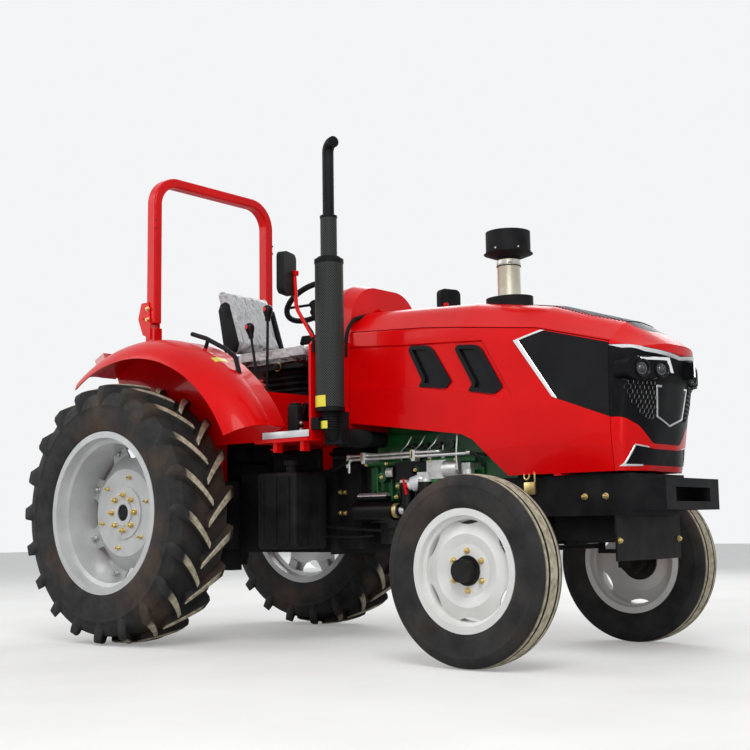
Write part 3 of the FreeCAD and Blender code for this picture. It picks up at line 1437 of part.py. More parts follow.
# Driver's place
def platform():
    floor_low = FLOOR_Z - FLOOR_T
    front = FIREWALL_X
    pieces = [
        box(RISER_X, front, -PLATFORM_HALF, PLATFORM_HALF, floor_low, FLOOR_Z),
        box(RISER_X - FLOOR_T, RISER_X, -DECK_HALF, DECK_HALF, floor_low, DECK_Z),
        box(DECK_REAR_X, RISER_X, -DECK_HALF, DECK_HALF, DECK_Z - FLOOR_T, DECK_Z),
        box(DECK_REAR_X, DECK_REAR_X + FLOOR_T, -DECK_HALF, DECK_HALF, 1100, DECK_Z),
    ]
    wall = plate_yz(
        [
            (-FIREWALL_HALF, floor_low),
            (FIREWALL_HALF, floor_low),
            (FIREWALL_HALF, FIREWALL_TOP_Z - 40),
            (FIREWALL_HALF - 40, FIREWALL_TOP_Z),
            (-FIREWALL_HALF + 40, FIREWALL_TOP_Z),
            (-FIREWALL_HALF, FIREWALL_TOP_Z - 40),
        ],
        front,
        front + FIREWALL_T,
    )
    pieces.append(wall)
    for side in SIDES.values():
        kerb = side * PLATFORM_HALF
        pieces.append(box(940, front, kerb - side * 8, kerb, floor_low, FLOOR_Z + 26))
        for x in (1010, 1210):
            pieces.append(box(x, x + 26, kerb - side * 60, kerb - side * 12, floor_low - 52, floor_low))
        pieces.append(box(930, 1030, side * 60, side * 150, GEARBOX_TOP_Z, floor_low))
        pieces.append(box(20, 160, side * 175, side * 210, AXLE_CASE_TOP_Z - 120, DECK_Z - FLOOR_T))
    return joined(pieces)


def dash_fairing():
    """Instrument cowl over the bonnet's rear end, on the firewall's top and rear face."""
    half = COWL_HALF
    sections = []
    for x, crown, shoulder in COWL_SECTIONS:
        outline = [
            (-half, FIREWALL_TOP_Z), (half, FIREWALL_TOP_Z), (half, crown - shoulder), (half - shoulder, crown),
            (shoulder - half, crown), (-half, crown - shoulder),
        ]
        sections.append(soft_wire([V(x, y, z) for y, z in outline], [0, 0, 0.45, 0.45, 0.45, 0.45]))
    cowl = Part.makeLoft(sections, True, True)
    console = box(1060, FIREWALL_X, -150, 150, FLOOR_Z, 1640)
    pieces = [cowl, console]
    for side in SIDES.values():
        ear = side * LID_EAR_Y
        pieces.append(
            box(
                BONNET_REAR_X - 2 * PANEL_GAP, LID_HINGE_X, ear - 12, ear,
                LID_HINGE_Z - LID_HINGE_R, LID_HINGE_Z + LID_HINGE_R,
            )
        )
        hinge = V(LID_HINGE_X, ear, LID_HINGE_Z)
        pieces.append(rod(hinge - Y_AXIS * 12, hinge, LID_HINGE_R))
        pieces.append(rod(hinge - Y_AXIS * 20, hinge + Y_AXIS * 24, LID_PIN_R))
    return joined(pieces)


def steer_axis():
    tilt = math.radians(STEER_TILT_DEG)
    return V(-math.sin(tilt), 0, math.cos(tilt))


def steering_column(cowl):
    axis = steer_axis()
    centre = V(STEER_X, 0, STEER_Z)
    top = centre - axis * 62
    foot = centre - axis * 620
    shaft = rod(top, foot, 36)
    pad = rod(centre - axis * 62, centre - axis * 120, 48)
    return joined([shaft, pad]).cut(cowl).Solids[0]


def steering_wheel():
    axis = steer_axis()
    centre = V(STEER_X, 0, STEER_Z)
    rim = Part.makeTorus(STEER_R - STEER_RIM_R, STEER_RIM_R, centre, axis)
    hub = rod(centre - axis * 61.5, centre - axis * 8, 30)
    pieces = [rim, hub]
    spoke_count = 3
    for index in range(spoke_count):
        angle = 360 / spoke_count * index
        spoke = rod(V(20, 0, 0), V(STEER_R - STEER_RIM_R, 0, 18), 8)
        spoke.rotate(V(0, 0, 0), Z_AXIS, angle)
        spoke.rotate(V(0, 0, 0), Y_AXIS, -STEER_TILT_DEG)
        spoke.translate(centre - axis * 18)
        pieces.append(spoke)
    return joined(pieces)


def seat_base():
    """Rails, the folded rubber boot over the suspension, and the pan with its back upright."""
    pieces = [box(SEAT_REAR_X, SEAT_FRONT_X - 60, -190, 190, DECK_Z, DECK_Z + SEAT_RAIL)]
    fold = (SEAT_PAN_Z - DECK_Z - SEAT_RAIL) / SEAT_FOLDS
    for index in range(SEAT_FOLDS):
        low = DECK_Z + SEAT_RAIL + fold * index
        rings = []
        for z, grow in ((low, 0), (low + fold / 2, SEAT_FOLD_OUT), (low + fold, 0)):
            x0, x1, y = SEAT_REAR_X + 40 - grow, SEAT_FRONT_X - 90 + grow, 155 + grow
            rings.append(soft_wire([V(x0, -y, z), V(x1, -y, z), V(x1, y, z), V(x0, y, z)], [0.2] * 4))
        pieces.append(Part.makeLoft(rings, True, True))
    pieces.append(box(SEAT_BACK_X, SEAT_FRONT_X - 40, -205, 205, SEAT_PAN_Z, SEAT_PAN_TOP_Z))
    pieces.append(box(SEAT_BACK_X, SEAT_BACK_X + 58, -150, 150, SEAT_PAN_TOP_Z, SEAT_BACK_Z - SEAT_GAP))
    return joined(pieces)


def seat_cushion():
    start = SEAT_BACK_X + 94
    body = box(start, SEAT_FRONT_X, -SEAT_HALF, SEAT_HALF, SEAT_PAN_TOP_Z + SEAT_GAP, SEAT_TOP_Z)
    top = SEAT_TOP_Z - 1
    top_edges = [edge for edge in body.Edges if edge.BoundBox.YLength > 1 and edge.BoundBox.ZMax > top]
    return body.makeFillet(SEAT_SOFT_R, top_edges)


def seat_backrest():
    low, high = SEAT_BACK_Z, SEAT_CREST_Z
    x = SEAT_BACK_X
    outline = [
        (x - 22, low), (x + 73, low), (x + 86, low + 50),
        (x - 27, high - 35), (x - 60, high), (x - 112, high), (x - 132, high - 25),
    ]
    return soft_plate([V(px, -SEAT_BACK_HALF, pz) for px, pz in outline], 0.3, V(0, 2 * SEAT_BACK_HALF, 0))


def hand_levers():
    solids = []
    for x, y, top_x, top_z in LEVERS:
        foot = V(x, y, DECK_Z)
        head = V(top_x, y, top_z)
        grip = (head - foot).normalize()
        knob = joined([Part.makeSphere(LEVER_KNOB_R, head), rod(head - grip * 60, head, LEVER_KNOB_R * 0.6)])
        boot = rod(foot, foot + Z_AXIS * 40, LEVER_FOOT_R)
        solids.append(joined([rod(foot + Z_AXIS * 20, head, LEVER_R), knob, boot]))
    return apart(solids)


def pedals():
    solids = []
    for y in PEDAL_YS:
        arm = rod(V(1180, y, FLOOR_Z + 24), V(1000, y, FLOOR_Z + 183), PEDAL_ARM_R)
        outline = [(960, FLOOR_Z + 128), (1010, FLOOR_Z + 223), (1024, FLOOR_Z + 217), (974, FLOOR_Z + 122)]
        pad = plate_xz(outline, y - PEDAL_HALF, y + PEDAL_HALF)
        foot = box(1140, 1220, y - 24, y + 24, FLOOR_Z, FLOOR_Z + 40)
        solids.append(joined([arm, pad, foot]))
    return apart(solids)


def fender(side):
    """Outer bowl turned about a line ahead of the axle, with a flat inner wall."""
    centre = V(FENDER_CX, 0, FENDER_CZ)
    wall = FENDER_WALL
    crown_y = FENDER_LIP_Y - FENDER_SHOULDER
    drop = FENDER_CROWN_R - FENDER_LIP_R
    bend_y = FENDER_LIP_Y - FENDER_SHOULDER * 0.26
    outer = [(FENDER_LIP_Y, 0), (bend_y, drop * 0.62), (crown_y, drop)]
    inner = [(crown_y, drop - wall), (bend_y - wall, drop * 0.62 - wall / 2), (FENDER_LIP_Y - wall, 0)]
    outer, inner = [[V(FENDER_CX + FENDER_LIP_R + up, y, FENDER_CZ) for y, up in arc] for arc in (outer, inner)]
    crown_out = V(FENDER_CX + FENDER_CROWN_R, FENDER_INNER_Y, FENDER_CZ)
    crown_in = crown_out - X_AXIS * wall
    edges = [Part.Arc(*outer).toShape(), Part.Arc(*inner).toShape()]
    runs = ((outer[-1], crown_out), (crown_out, crown_in), (crown_in, inner[0]), (inner[-1], outer[0]))
    for start, end in runs:
        edges.append(Part.LineSegment(start, end).toShape())
    face = Part.Face(Part.Wire(Part.__sortEdges__(edges)))
    bowl = face.revolve(centre, Y_AXIS, -(FENDER_REAR_DEG - FENDER_FRONT_DEG))
    bowl.rotate(centre, Y_AXIS, -FENDER_FRONT_DEG)
    sheet = Part.makeCylinder(FENDER_CROWN_R, wall, centre + Y_AXIS * (FENDER_INNER_Y - wall), Y_AXIS)
    front = math.radians(FENDER_FRONT_DEG)
    rear = math.radians(FENDER_REAR_DEG)
    reach = FENDER_CROWN_R + 30
    zone = plate_xz(
        [
            (FENDER_CX + reach * math.cos(front), FENDER_CZ + reach * math.sin(front)),
            (FENDER_CX + reach * math.cos(front), 2000),
            (FENDER_CX + reach * math.cos(rear) * 1.3, 2000),
            (FENDER_CX + reach * math.cos(rear) * 0.83, FENDER_CZ + reach * math.sin(rear) * 0.83),
            (-120, FLOOR_Z + SEAT_GAP),
            (900, FLOOR_Z + SEAT_GAP),
        ],
        FENDER_INNER_Y - 50,
        FENDER_INNER_Y + 50,
    )
    tip = box(-700, FENDER_CX + FENDER_CROWN_R * math.cos(rear), 0, 1200, 0, 2000)
    sheet = sheet.common(zone).cut(tip)
    return on_side(joined([bowl, sheet]), side)


def fuel_tank():
    """A moulded tank hung on the gearbox by two straps, with ribs down its outer and front faces."""
    body = box(TANK_REAR_X, TANK_FRONT_X, -SIDE_BOX_IN, -SIDE_BOX_OUT, TANK_LOW_Z, TANK_TOP_Z)
    body = body.makeFillet(TANK_EDGE_R, body.Edges)
    ribs = []
    low, high = TANK_LOW_Z + 30, TANK_TOP_Z - 30
    for index in range(TANK_RIBS):
        x = TANK_REAR_X + 60 + index * (TANK_FRONT_X - TANK_REAR_X - 100) / (TANK_RIBS - 1)
        ribs.append(box(x - 20, x, 8 - SIDE_BOX_OUT, -SIDE_BOX_OUT - RIB_UP, low, high))
    for y in (-380, -450, -520):
        ribs.append(box(TANK_FRONT_X - 8, TANK_FRONT_X + RIB_UP, y - 11, y + 11, low, high))
    filler = V(TANK_FRONT_X - 90, 70 - SIDE_BOX_OUT, TANK_TOP_Z)
    neck = [
        rod(filler - Z_AXIS * 4, filler + Z_AXIS * 40, NECK_R),
        rod(filler + Z_AXIS * 36, filler + Z_AXIS * 62, NECK_R + 12),
    ]
    return joined([body] + side_straps(-1) + ribs + neck)


def side_straps(side):
    """Straps from the gearbox's flank to a box carried beside it."""
    straps = []
    for z in STRAP_ZS:
        straps.append(
            box(STRAP_X, STRAP_X + STRAP_W, side * GEARBOX_HALF, side * (SIDE_BOX_IN + 4), z, z + STRAP_W)
        )
    return straps


def battery_box():
    """The battery's box, with the lip of its lid."""
    body = box(BATTERY_REAR_X, BATTERY_FRONT_X, SIDE_BOX_IN, SIDE_BOX_OUT, BATTERY_LOW_Z, BATTERY_TOP_Z - 40)
    lid = box(
        BATTERY_REAR_X - RIB_UP, BATTERY_FRONT_X + RIB_UP, SIDE_BOX_IN - RIB_UP, SIDE_BOX_OUT + RIB_UP,
        BATTERY_TOP_Z - 40, BATTERY_TOP_Z,
    )
    return joined([body, lid] + side_straps(1))


def rops_posts():
    """Fixed lower posts of the roll bar, their feet over the axle housings and the hinge ears."""
    solids = []
    front = ROPS_REAR_X + ROPS_DEPTH
    inner = ROPS_HALF - ROPS_WIDTH
    for side in SIDES.values():
        post = box(ROPS_REAR_X, front, side * inner, side * ROPS_HALF, REAR_TYRE_R + TRUMPET_R, ROPS_POST_TOP_Z)
        foot = box(
            ROPS_REAR_X, TRUMPET_R + 20, side * (inner - 20), side * (ROPS_HALF + 20),
            REAR_TYRE_R + TRUMPET_R, REAR_TYRE_R + TRUMPET_R + 26,
        )
        ears = []
        for face, way in ((inner, -1), (ROPS_HALF, 1)):
            near = side * (face + way * 1.0)
            ears.append(
                plate_xz(
                    [
                        (ROPS_REAR_X + 50, 1800),
                        (ROPS_REAR_X - 20, 1830),
                        (ROPS_PIVOT_X - 42, ROPS_PIVOT_Z),
                        (ROPS_PIVOT_X - 12, 2030),
                        (ROPS_REAR_X + 30, 2030),
                        (ROPS_REAR_X + 50, 1900),
                    ],
                    near,
                    near + side * way * ROPS_EAR_T,
                )
            )
            ears.append(box(ROPS_REAR_X, ROPS_REAR_X + 50, side * face, near, 1800, ROPS_POST_TOP_Z))
        pin = rod(
            V(ROPS_PIVOT_X, side * (inner - 14), ROPS_PIVOT_Z),
            V(ROPS_PIVOT_X, side * (ROPS_HALF + 14), ROPS_PIVOT_Z),
            ROPS_PIN_R,
        )
        solids.append(joined([post, foot, pin] + ears))
    return apart(solids)


def arch(half, radius, top, low, x0, x1):
    """A flat arch with rounded top corners, filled."""
    body = box(x0, x1, -half, half, low, top)
    corners = [
        edge
        for edge in body.Edges
        if edge.BoundBox.XLength > 1 and edge.BoundBox.ZMin > top - 1 and abs(edge.BoundBox.YMin) > half - 1
    ]
    return body.makeFillet(radius, corners)


def rops_hoop():
    front = ROPS_REAR_X + ROPS_DEPTH
    outer = arch(ROPS_HALF, ROPS_CORNER_R, ROPS_TOP_Z, ROPS_FOOT_Z, ROPS_REAR_X, front)
    inner = arch(
        ROPS_HALF - ROPS_WIDTH,
        ROPS_CORNER_R - ROPS_WIDTH,
        ROPS_TOP_Z - ROPS_WIDTH,
        ROPS_FOOT_Z - 10,
        ROPS_REAR_X - 5,
        front + 5,
    )
    hoop = outer.cut(inner)
    foot = ROPS_FOOT_Z + 1
    long_edges = [edge for edge in hoop.Edges if edge.BoundBox.XLength < 1 and edge.BoundBox.ZMax > foot]
    hoop = hoop.makeFillet(ROPS_EDGE_R, long_edges)
    lugs = []
    bores = []
    for side in SIDES.values():
        y0 = side * (ROPS_HALF - ROPS_WIDTH)
        y1 = side * ROPS_HALF
        lugs.append(
            plate_xz(
                [
                    (ROPS_REAR_X, ROPS_FOOT_Z),
                    (ROPS_PIVOT_X - 14, ROPS_FOOT_Z + 8),
                    (ROPS_PIVOT_X - 20, ROPS_PIVOT_Z),
                    (ROPS_PIVOT_X - 8, 2015),
                    (ROPS_REAR_X, 2030),
                ],
                y0,
                y1,
            )
        )
        pin = V(ROPS_PIVOT_X, side * (ROPS_HALF - ROPS_WIDTH - 5), ROPS_PIVOT_Z)
        bores.append(rod(pin, pin + Y_AXIS * side * (ROPS_WIDTH + 10), ROPS_PIN_R + SEAT_GAP))
    return joined([hoop] + lugs).cut(Part.makeCompound(bores))


def handrails():
    solids = []
    for side in SIDES.values():
        y = side * HANDRAIL_Y
        reach = FENDER_CROWN_R + HANDRAIL_UP
        angles = [75.5, 69, 60, 54.5]
        points = []
        for angle in angles:
            bend = math.radians(angle)
            points.append(V(FENDER_CX + reach * math.cos(bend), y, FENDER_CZ + reach * math.sin(bend)))
        end = math.radians(50)
        crown = FENDER_CROWN_R - 4
        points.append(V(FENDER_CX + crown * math.cos(end), y, FENDER_CZ + crown * math.sin(end)))
        rail = pipe_path(points, 13, 50)
        post_angle = math.radians(68)
        foot = V(
            FENDER_CX + (FENDER_CROWN_R - 4) * math.cos(post_angle),
            y,
            FENDER_CZ + (FENDER_CROWN_R - 4) * math.sin(post_angle),
        )
        head = V(FENDER_CX + reach * math.cos(post_angle), y, FENDER_CZ + reach * math.sin(post_angle))
        solids.append(joined([rail, rod(foot, head, 11)]))
    return solids


def mirrors():
    solids = []
    for side in SIDES.values():
        foot_x = FIREWALL_X + FIREWALL_T + MIRROR_BAR_R + SEAT_GAP
        foot = V(foot_x, side * (FIREWALL_HALF - 12), FIREWALL_TOP_Z - 80)
        shoulder = V(foot.x, foot.y, FIREWALL_TOP_Z + 20)
        knee = V(FIREWALL_X - 56, side * 664, FIREWALL_TOP_Z + 160)
        top = V(FIREWALL_X - 64, side * 668, FIREWALL_TOP_Z + 345)
        bar = pipe_path([foot, shoulder, knee, top], MIRROR_BAR_R, 30)
        head = box(FIREWALL_X - 112, FIREWALL_X - 68, side * 640, side * 790, 1868, 2094)
        corners = [edge for edge in head.Edges if edge.BoundBox.XLength > 1]
        head = head.makeFillet(34, corners)
        head.rotate(V(FIREWALL_X - 68, side * 668, 0), Z_AXIS, side * -18)
        solids.append(joined([bar, head]))
    return solids


def rear_lamps():
    solids = []
    for side in SIDES.values():
        rear = math.radians(FENDER_REAR_DEG - 6)
        out = V(math.cos(rear), 0, math.sin(rear))
        at = V(FENDER_CX, side * 700, FENDER_CZ) + out * FENDER_CROWN_R
        lamp = box(-45, 45, -80, 80, 0, 70)
        lamp.rotate(V(0, 0, 0), Y_AXIS, -(math.degrees(rear) - 90))
        lamp.translate(at + out * -6)
        solids.append(lamp)
    return solids


def save(name, shape):
    solids = shape.Solids
    body = solids[0].copy() if len(solids) == 1 else Part.makeCompound([solid.copy() for solid in solids])
    body.translate(V(REAR_AXLE_X, 0, 0))
    body.exportStep("parts/" + name + ".step")
    print(name, len(solids), round(sum(solid.Volume for solid in solids) / 1e6, 2), body.isValid())


def main():
    bonnet = bonnet_parts()
    outer = bonnet["outer"]
    for name, side in SIDES.items():
        save("rear_tyre_" + name, rear_tyre(side))
        save("rear_rim_" + name, rear_rim(side))
        save("front_tyre_" + name, front_tyre(side))
        save("front_rim_" + name, front_rim(side))
        save("front_hub_" + name, front_hub(side))
        save("knuckle_" + name, knuckle(side))
        save("fender_" + name, fender(side))
    save("front_axle_beam", beam())
    save("tie_rod", tie_rod())
    save("front_frame", front_frame())
    save("front_bumper", front_bumper())
    save("radiator_guard", radiator_guard())
    save("engine", engine())
    save("engine_fittings", engine_fittings())
    save("radiator", radiator())
    save("gearbox_housing", gearbox_housing())
    save("rear_axle_housing", rear_axle_housing())
    save("pto_shaft", pto_shaft())
    save("drawbar", drawbar())
    save("lower_links", lower_links())
    save("lift_arms", lift_arms())
    save("lift_rods", lift_rods())
    save("top_link", top_link())
    save("bonnet_side_panels", side_panels(bonnet))
    save("side_grilles", apart([solid for group in bonnet["side_grilles"] for solid in group.Solids]))
    lamps = headlamps()
    lamp_set = Part.makeCompound(headlamps(LAMP_RECESS))
    save("bonnet_lid", bonnet_lid(bonnet))
    mask, insert, top_grille = bonnet["nose_grilles"]
    nose = [joined([mask] + lamp_pods(outer)).cut(lamp_set), insert, top_grille]
    save("nose_grilles", apart([solid for group in nose for solid in group.Solids]))
    save("headlamps", apart(lamps))
    save("air_precleaner", air_precleaner(outer))
    save("exhaust_stack", exhaust_stack())
    save("platform", platform())
    cowl = dash_fairing()
    save("dash_fairing", cowl)
    save("steering_column", steering_column(cowl))
    save("steering_wheel", steering_wheel())
    save("seat_base", seat_base())
    save("seat_cushion", seat_cushion())
    save("seat_backrest", seat_backrest())
    save("hand_levers", hand_levers())
    save("pedals", pedals())
    save("fuel_tank", fuel_tank())
    save("battery_box", battery_box())
    save("rops_posts", rops_posts())
    save("rops_hoop", rops_hoop())
    fenders = [fender(side) for side in SIDES.values()]
    fender_set = Part.makeCompound(fenders)
    save("handrails", apart([largest(rail.cut(fender_set)) for rail in handrails()]))
    save("mirrors", apart(mirrors()))
    save("rear_lamps", apart([largest(lamp.cut(fender_set)) for lamp in rear_lamps()]))


main()
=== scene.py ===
import json
import math

import bmesh
import bpy
from mathutils import Matrix, Vector


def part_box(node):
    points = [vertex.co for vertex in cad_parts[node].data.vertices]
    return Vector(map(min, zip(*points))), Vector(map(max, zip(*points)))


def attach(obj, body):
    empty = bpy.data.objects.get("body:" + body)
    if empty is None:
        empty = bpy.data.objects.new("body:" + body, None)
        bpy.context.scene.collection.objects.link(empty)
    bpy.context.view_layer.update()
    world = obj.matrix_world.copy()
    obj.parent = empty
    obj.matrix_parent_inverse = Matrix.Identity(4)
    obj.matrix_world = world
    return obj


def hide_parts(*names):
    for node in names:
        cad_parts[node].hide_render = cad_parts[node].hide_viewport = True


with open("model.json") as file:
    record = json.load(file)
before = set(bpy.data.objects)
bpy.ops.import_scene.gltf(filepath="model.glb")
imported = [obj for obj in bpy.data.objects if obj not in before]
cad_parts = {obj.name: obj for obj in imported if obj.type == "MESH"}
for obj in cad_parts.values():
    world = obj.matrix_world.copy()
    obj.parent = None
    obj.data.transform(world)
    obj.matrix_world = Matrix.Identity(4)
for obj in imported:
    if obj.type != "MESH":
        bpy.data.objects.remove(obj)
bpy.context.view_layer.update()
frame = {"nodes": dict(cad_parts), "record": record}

# Places are written in millimetres from the rear axle on the ground, as the tractor was measured
MM = 0.001
SIDES = {"right": -1, "left": 1}


def middle_of(node):
    low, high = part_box(node)
    return (Vector(low) + Vector(high)) / 2


AXLE = middle_of("rear_tyre_right")
FRONT_AXLE = middle_of("front_tyre_right")
REAR_R = AXLE.z
FRONT_R = FRONT_AXLE.z
REAR_Y = abs(AXLE.y)
FRONT_Y = abs(FRONT_AXLE.y)


def at(x, y, z):
    """A place in metres in the frame, from millimetres behind or ahead of the rear axle."""
    return Vector((AXLE.x + x * MM, y * MM, z * MM))


# Camera, at the photograph's place and angle
def make_camera():
    yaw, pitch, roll = math.radians(40.12), math.radians(7.01), math.radians(-0.81)
    ahead = Vector((-math.sin(yaw) * math.cos(pitch), math.cos(yaw) * math.cos(pitch), math.sin(pitch)))
    level = ahead.cross(Vector((0, 0, 1))).normalized()
    upright = level.cross(ahead)
    right = level * math.cos(roll) + upright * math.sin(roll)
    up = right.cross(ahead)
    data = bpy.data.cameras.new("photo_camera")
    data.lens = 59.41
    data.sensor_width = 36
    data.clip_end = 200
    camera = bpy.data.objects.new("photo_camera", data)
    bpy.context.scene.collection.objects.link(camera)
    turn = Matrix((right, up, -ahead)).transposed().to_4x4()
    camera.matrix_world = Matrix.Translation(at(5725.6, -5368.9, 635.85)) @ turn
    bpy.context.scene.camera = camera


def make_lamp(name, place, target, size, power):
    data = bpy.data.lights.new(name, "AREA")
    data.shape = "DISK"
    data.size = size
    data.energy = power
    lamp = bpy.data.objects.new(name, data)
    bpy.context.scene.collection.objects.link(lamp)
    lamp.location = place
    lamp.rotation_euler = (Vector(target) - Vector(place)).to_track_quat("-Z", "Y").to_euler()


def make_studio():
    scene = bpy.context.scene
    scene.view_settings.view_transform = "Standard"
    world = bpy.data.worlds.new("studio")
    scene.world = world
    world.use_nodes = True
    nodes, links = world.node_tree.nodes, world.node_tree.links
    shade = nodes["Background"]
    path = nodes.new("ShaderNodeLightPath")
    seen = nodes.new("ShaderNodeMath")
    seen.operation = "MAXIMUM"
    links.new(path.outputs["Is Camera Ray"], seen.inputs[0])
    links.new(path.outputs["Is Glossy Ray"], seen.inputs[1])
    tint = nodes.new("ShaderNodeMix")
    tint.data_type = "RGBA"
    tint.inputs["A"].default_value = (0.30, 0.32, 0.34, 1)
    tint.inputs["B"].default_value = (0.90, 0.91, 0.92, 1)
    links.new(seen.outputs[0], tint.inputs["Factor"])
    links.new(tint.outputs["Result"], shade.inputs["Color"])
    shade.inputs["Strength"].default_value = 1.0
    make_lamp("key", (5.0, -5.5, 7.0), (0.2, 0, 0.8), 5.0, 400)
    make_lamp("fill", (-6.5, -5.0, 5.0), (0, 0, 0.9), 6.0, 190)
    make_lamp("back", (-3.0, 7.0, 6.0), (0, 0, 1.0), 6.0, 260)
    make_lamp("low_front", (5.5, -6.5, 1.8), (0.6, 0, 0.9), 5.0, 90)


def make_floor():
    deselect()
    bpy.ops.mesh.primitive_plane_add(size=60, location=(0, 0, 0))
    floor = bpy.context.active_object
    floor.name = "studio_floor"
    material, shader, nodes, links = new_material("studio_floor")
    place = nodes.new("ShaderNodeTexCoord")
    cloud = noise(nodes, links, place, 1.3, 4)
    grit = noise(nodes, links, place, 60, 3)
    ramp = colour_ramp(nodes, links, cloud, (0.70, 0.69, 0.67), (0.78, 0.77, 0.75), 0.35, 0.7)
    links.new(ramp.outputs["Color"], shader.inputs["Base Color"])
    shader.inputs["Roughness"].default_value = 0.85
    shader.inputs["Emission Color"].default_value = (0.90, 0.90, 0.88, 1)
    path = nodes.new("ShaderNodeLightPath")
    lift = nodes.new("ShaderNodeMath")
    lift.operation = "MULTIPLY"
    lift.inputs[1].default_value = 0.28
    links.new(path.outputs["Is Camera Ray"], lift.inputs[0])
    links.new(lift.outputs[0], shader.inputs["Emission Strength"])
    bump(nodes, links, grit, shader, 0.15, 0.002)
    floor.data.materials.append(material)


# Nodes shared by the materials
def deselect():
    bpy.ops.object.select_all(action="DESELECT")


def new_material(name):
    material = bpy.data.materials.new(name)
    material.use_nodes = True
    nodes, links = material.node_tree.nodes, material.node_tree.links
    return material, nodes["Principled BSDF"], nodes, links


def noise(nodes, links, place, scale, detail, stretch=None):
    cloud = nodes.new("ShaderNodeTexNoise")
    cloud.inputs["Scale"].default_value = scale
    cloud.inputs["Detail"].default_value = detail
    source = place.outputs["Object"]
    if stretch:
        mapping = nodes.new("ShaderNodeMapping")
        mapping.inputs["Scale"].default_value = stretch
        links.new(source, mapping.inputs["Vector"])
        source = mapping.outputs["Vector"]
    links.new(source, cloud.inputs["Vector"])
    return cloud


def colour_ramp(nodes, links, source, low, high, low_at=0.3, high_at=0.7):
    ramp = nodes.new("ShaderNodeValToRGB")
    ramp.color_ramp.elements[0].position = low_at
    ramp.color_ramp.elements[0].color = (*low, 1)
    ramp.color_ramp.elements[1].position = high_at
    ramp.color_ramp.elements[1].color = (*high, 1)
    links.new(source.outputs[0], ramp.inputs["Fac"])
    return ramp


def bump(nodes, links, source, shader, strength, distance):
    node = nodes.new("ShaderNodeBump")
    node.inputs["Strength"].default_value = strength
    node.inputs["Distance"].default_value = distance
    links.new(source.outputs[0], node.inputs["Height"])
    links.new(node.outputs["Normal"], shader.inputs["Normal"])
    return node


def roughness_from(nodes, links, source, shader, low, high):
    spread = nodes.new("ShaderNodeMapRange")
    spread.inputs["To Min"].default_value = low
    spread.inputs["To Max"].default_value = high
    links.new(source.outputs[0], spread.inputs["Value"])
    links.new(spread.outputs["Result"], shader.inputs["Roughness"])


def mix_colours(nodes, links, factor, first, second):
    mix = nodes.new("ShaderNodeMix")
    mix.data_type = "RGBA"
    links.new(factor, mix.inputs["Factor"])
    links.new(first, mix.inputs["A"])
    if isinstance(second, tuple):
        mix.inputs["B"].default_value = (*second, 1)
    else:
        links.new(second, mix.inputs["B"])
    return mix


# Finishes
def finish(name, dark, light, scale=6, rough=(0.3, 0.4), metal=0.0, coat=0.0, grain=None, dust=None, shine=0.5):
    """A painted, moulded or plated surface: uneven colour, uneven gloss, a fine grain and dust low down."""
    material, shader, nodes, links = new_material(name)
    place = nodes.new("ShaderNodeTexCoord")
    cloud = noise(nodes, links, place, scale, 5)
    ramp = colour_ramp(nodes, links, cloud, dark, light)
    colour = ramp.outputs["Color"]
    if dust:
        tone, top, amount = dust
        split = nodes.new("ShaderNodeSeparateXYZ")
        links.new(place.outputs["Object"], split.inputs["Vector"])
        fade = nodes.new("ShaderNodeMapRange")
        fade.inputs["From Min"].default_value = 0.0
        fade.inputs["From Max"].default_value = top
        fade.inputs["To Min"].default_value = amount
        fade.inputs["To Max"].default_value = 0.0
        links.new(split.outputs["Z"], fade.inputs["Value"])
        specks = noise(nodes, links, place, 22, 8)
        times = nodes.new("ShaderNodeMath")
        times.operation = "MULTIPLY"
        links.new(fade.outputs["Result"], times.inputs[0])
        links.new(specks.outputs[0], times.inputs[1])
        colour = mix_colours(nodes, links, times.outputs[0], colour, tone).outputs["Result"]
    links.new(colour, shader.inputs["Base Color"])
    roughness_from(nodes, links, noise(nodes, links, place, scale * 3, 4), shader, *rough)
    shader.inputs["Metallic"].default_value = metal
    shader.inputs["Specular IOR Level"].default_value = shine
    shader.inputs["Coat Weight"].default_value = coat
    shader.inputs["Coat Roughness"].default_value = 0.06
    if grain:
        grain_scale, strength, depth = grain
        bump(nodes, links, noise(nodes, links, place, grain_scale, 3), shader, strength, depth)
    return material


def toned_within(material, low, high, tone):
    """Another colour for what lies between two corners."""
    nodes, links = material.node_tree.nodes, material.node_tree.links
    shader = nodes["Principled BSDF"]
    before = shader.inputs["Base Color"].links[0].from_socket
    place = nodes.new("ShaderNodeTexCoord")
    centred = nodes.new("ShaderNodeMapping")
    scale = [2 / (b - a) for a, b in zip(low, high)]
    centred.inputs["Scale"].default_value = scale
    centred.inputs["Location"].default_value = [-(a + b) / 2 * k for a, b, k in zip(low, high, scale)]
    links.new(place.outputs["Object"], centred.inputs["Vector"])
    size = nodes.new("ShaderNodeVectorMath")
    size.operation = "ABSOLUTE"
    links.new(centred.outputs["Vector"], size.inputs[0])
    split = nodes.new("ShaderNodeSeparateXYZ")
    links.new(size.outputs["Vector"], split.inputs["Vector"])
    widest = split.outputs["X"]
    for other in ("Y", "Z"):
        larger = nodes.new("ShaderNodeMath")
        larger.operation = "MAXIMUM"
        links.new(widest, larger.inputs[0])
        links.new(split.outputs[other], larger.inputs[1])
        widest = larger.outputs[0]
    inside = nodes.new("ShaderNodeMath")
    inside.operation = "LESS_THAN"
    inside.inputs[1].default_value = 1.0
    links.new(widest, inside.inputs[0])
    mixed = mix_colours(nodes, links, inside.outputs[0], before, tone)
    links.new(mixed.outputs["Result"], shader.inputs["Base Color"])
    return material


DUST = (0.42, 0.36, 0.29)
CLAY = (0.20, 0.105, 0.055)


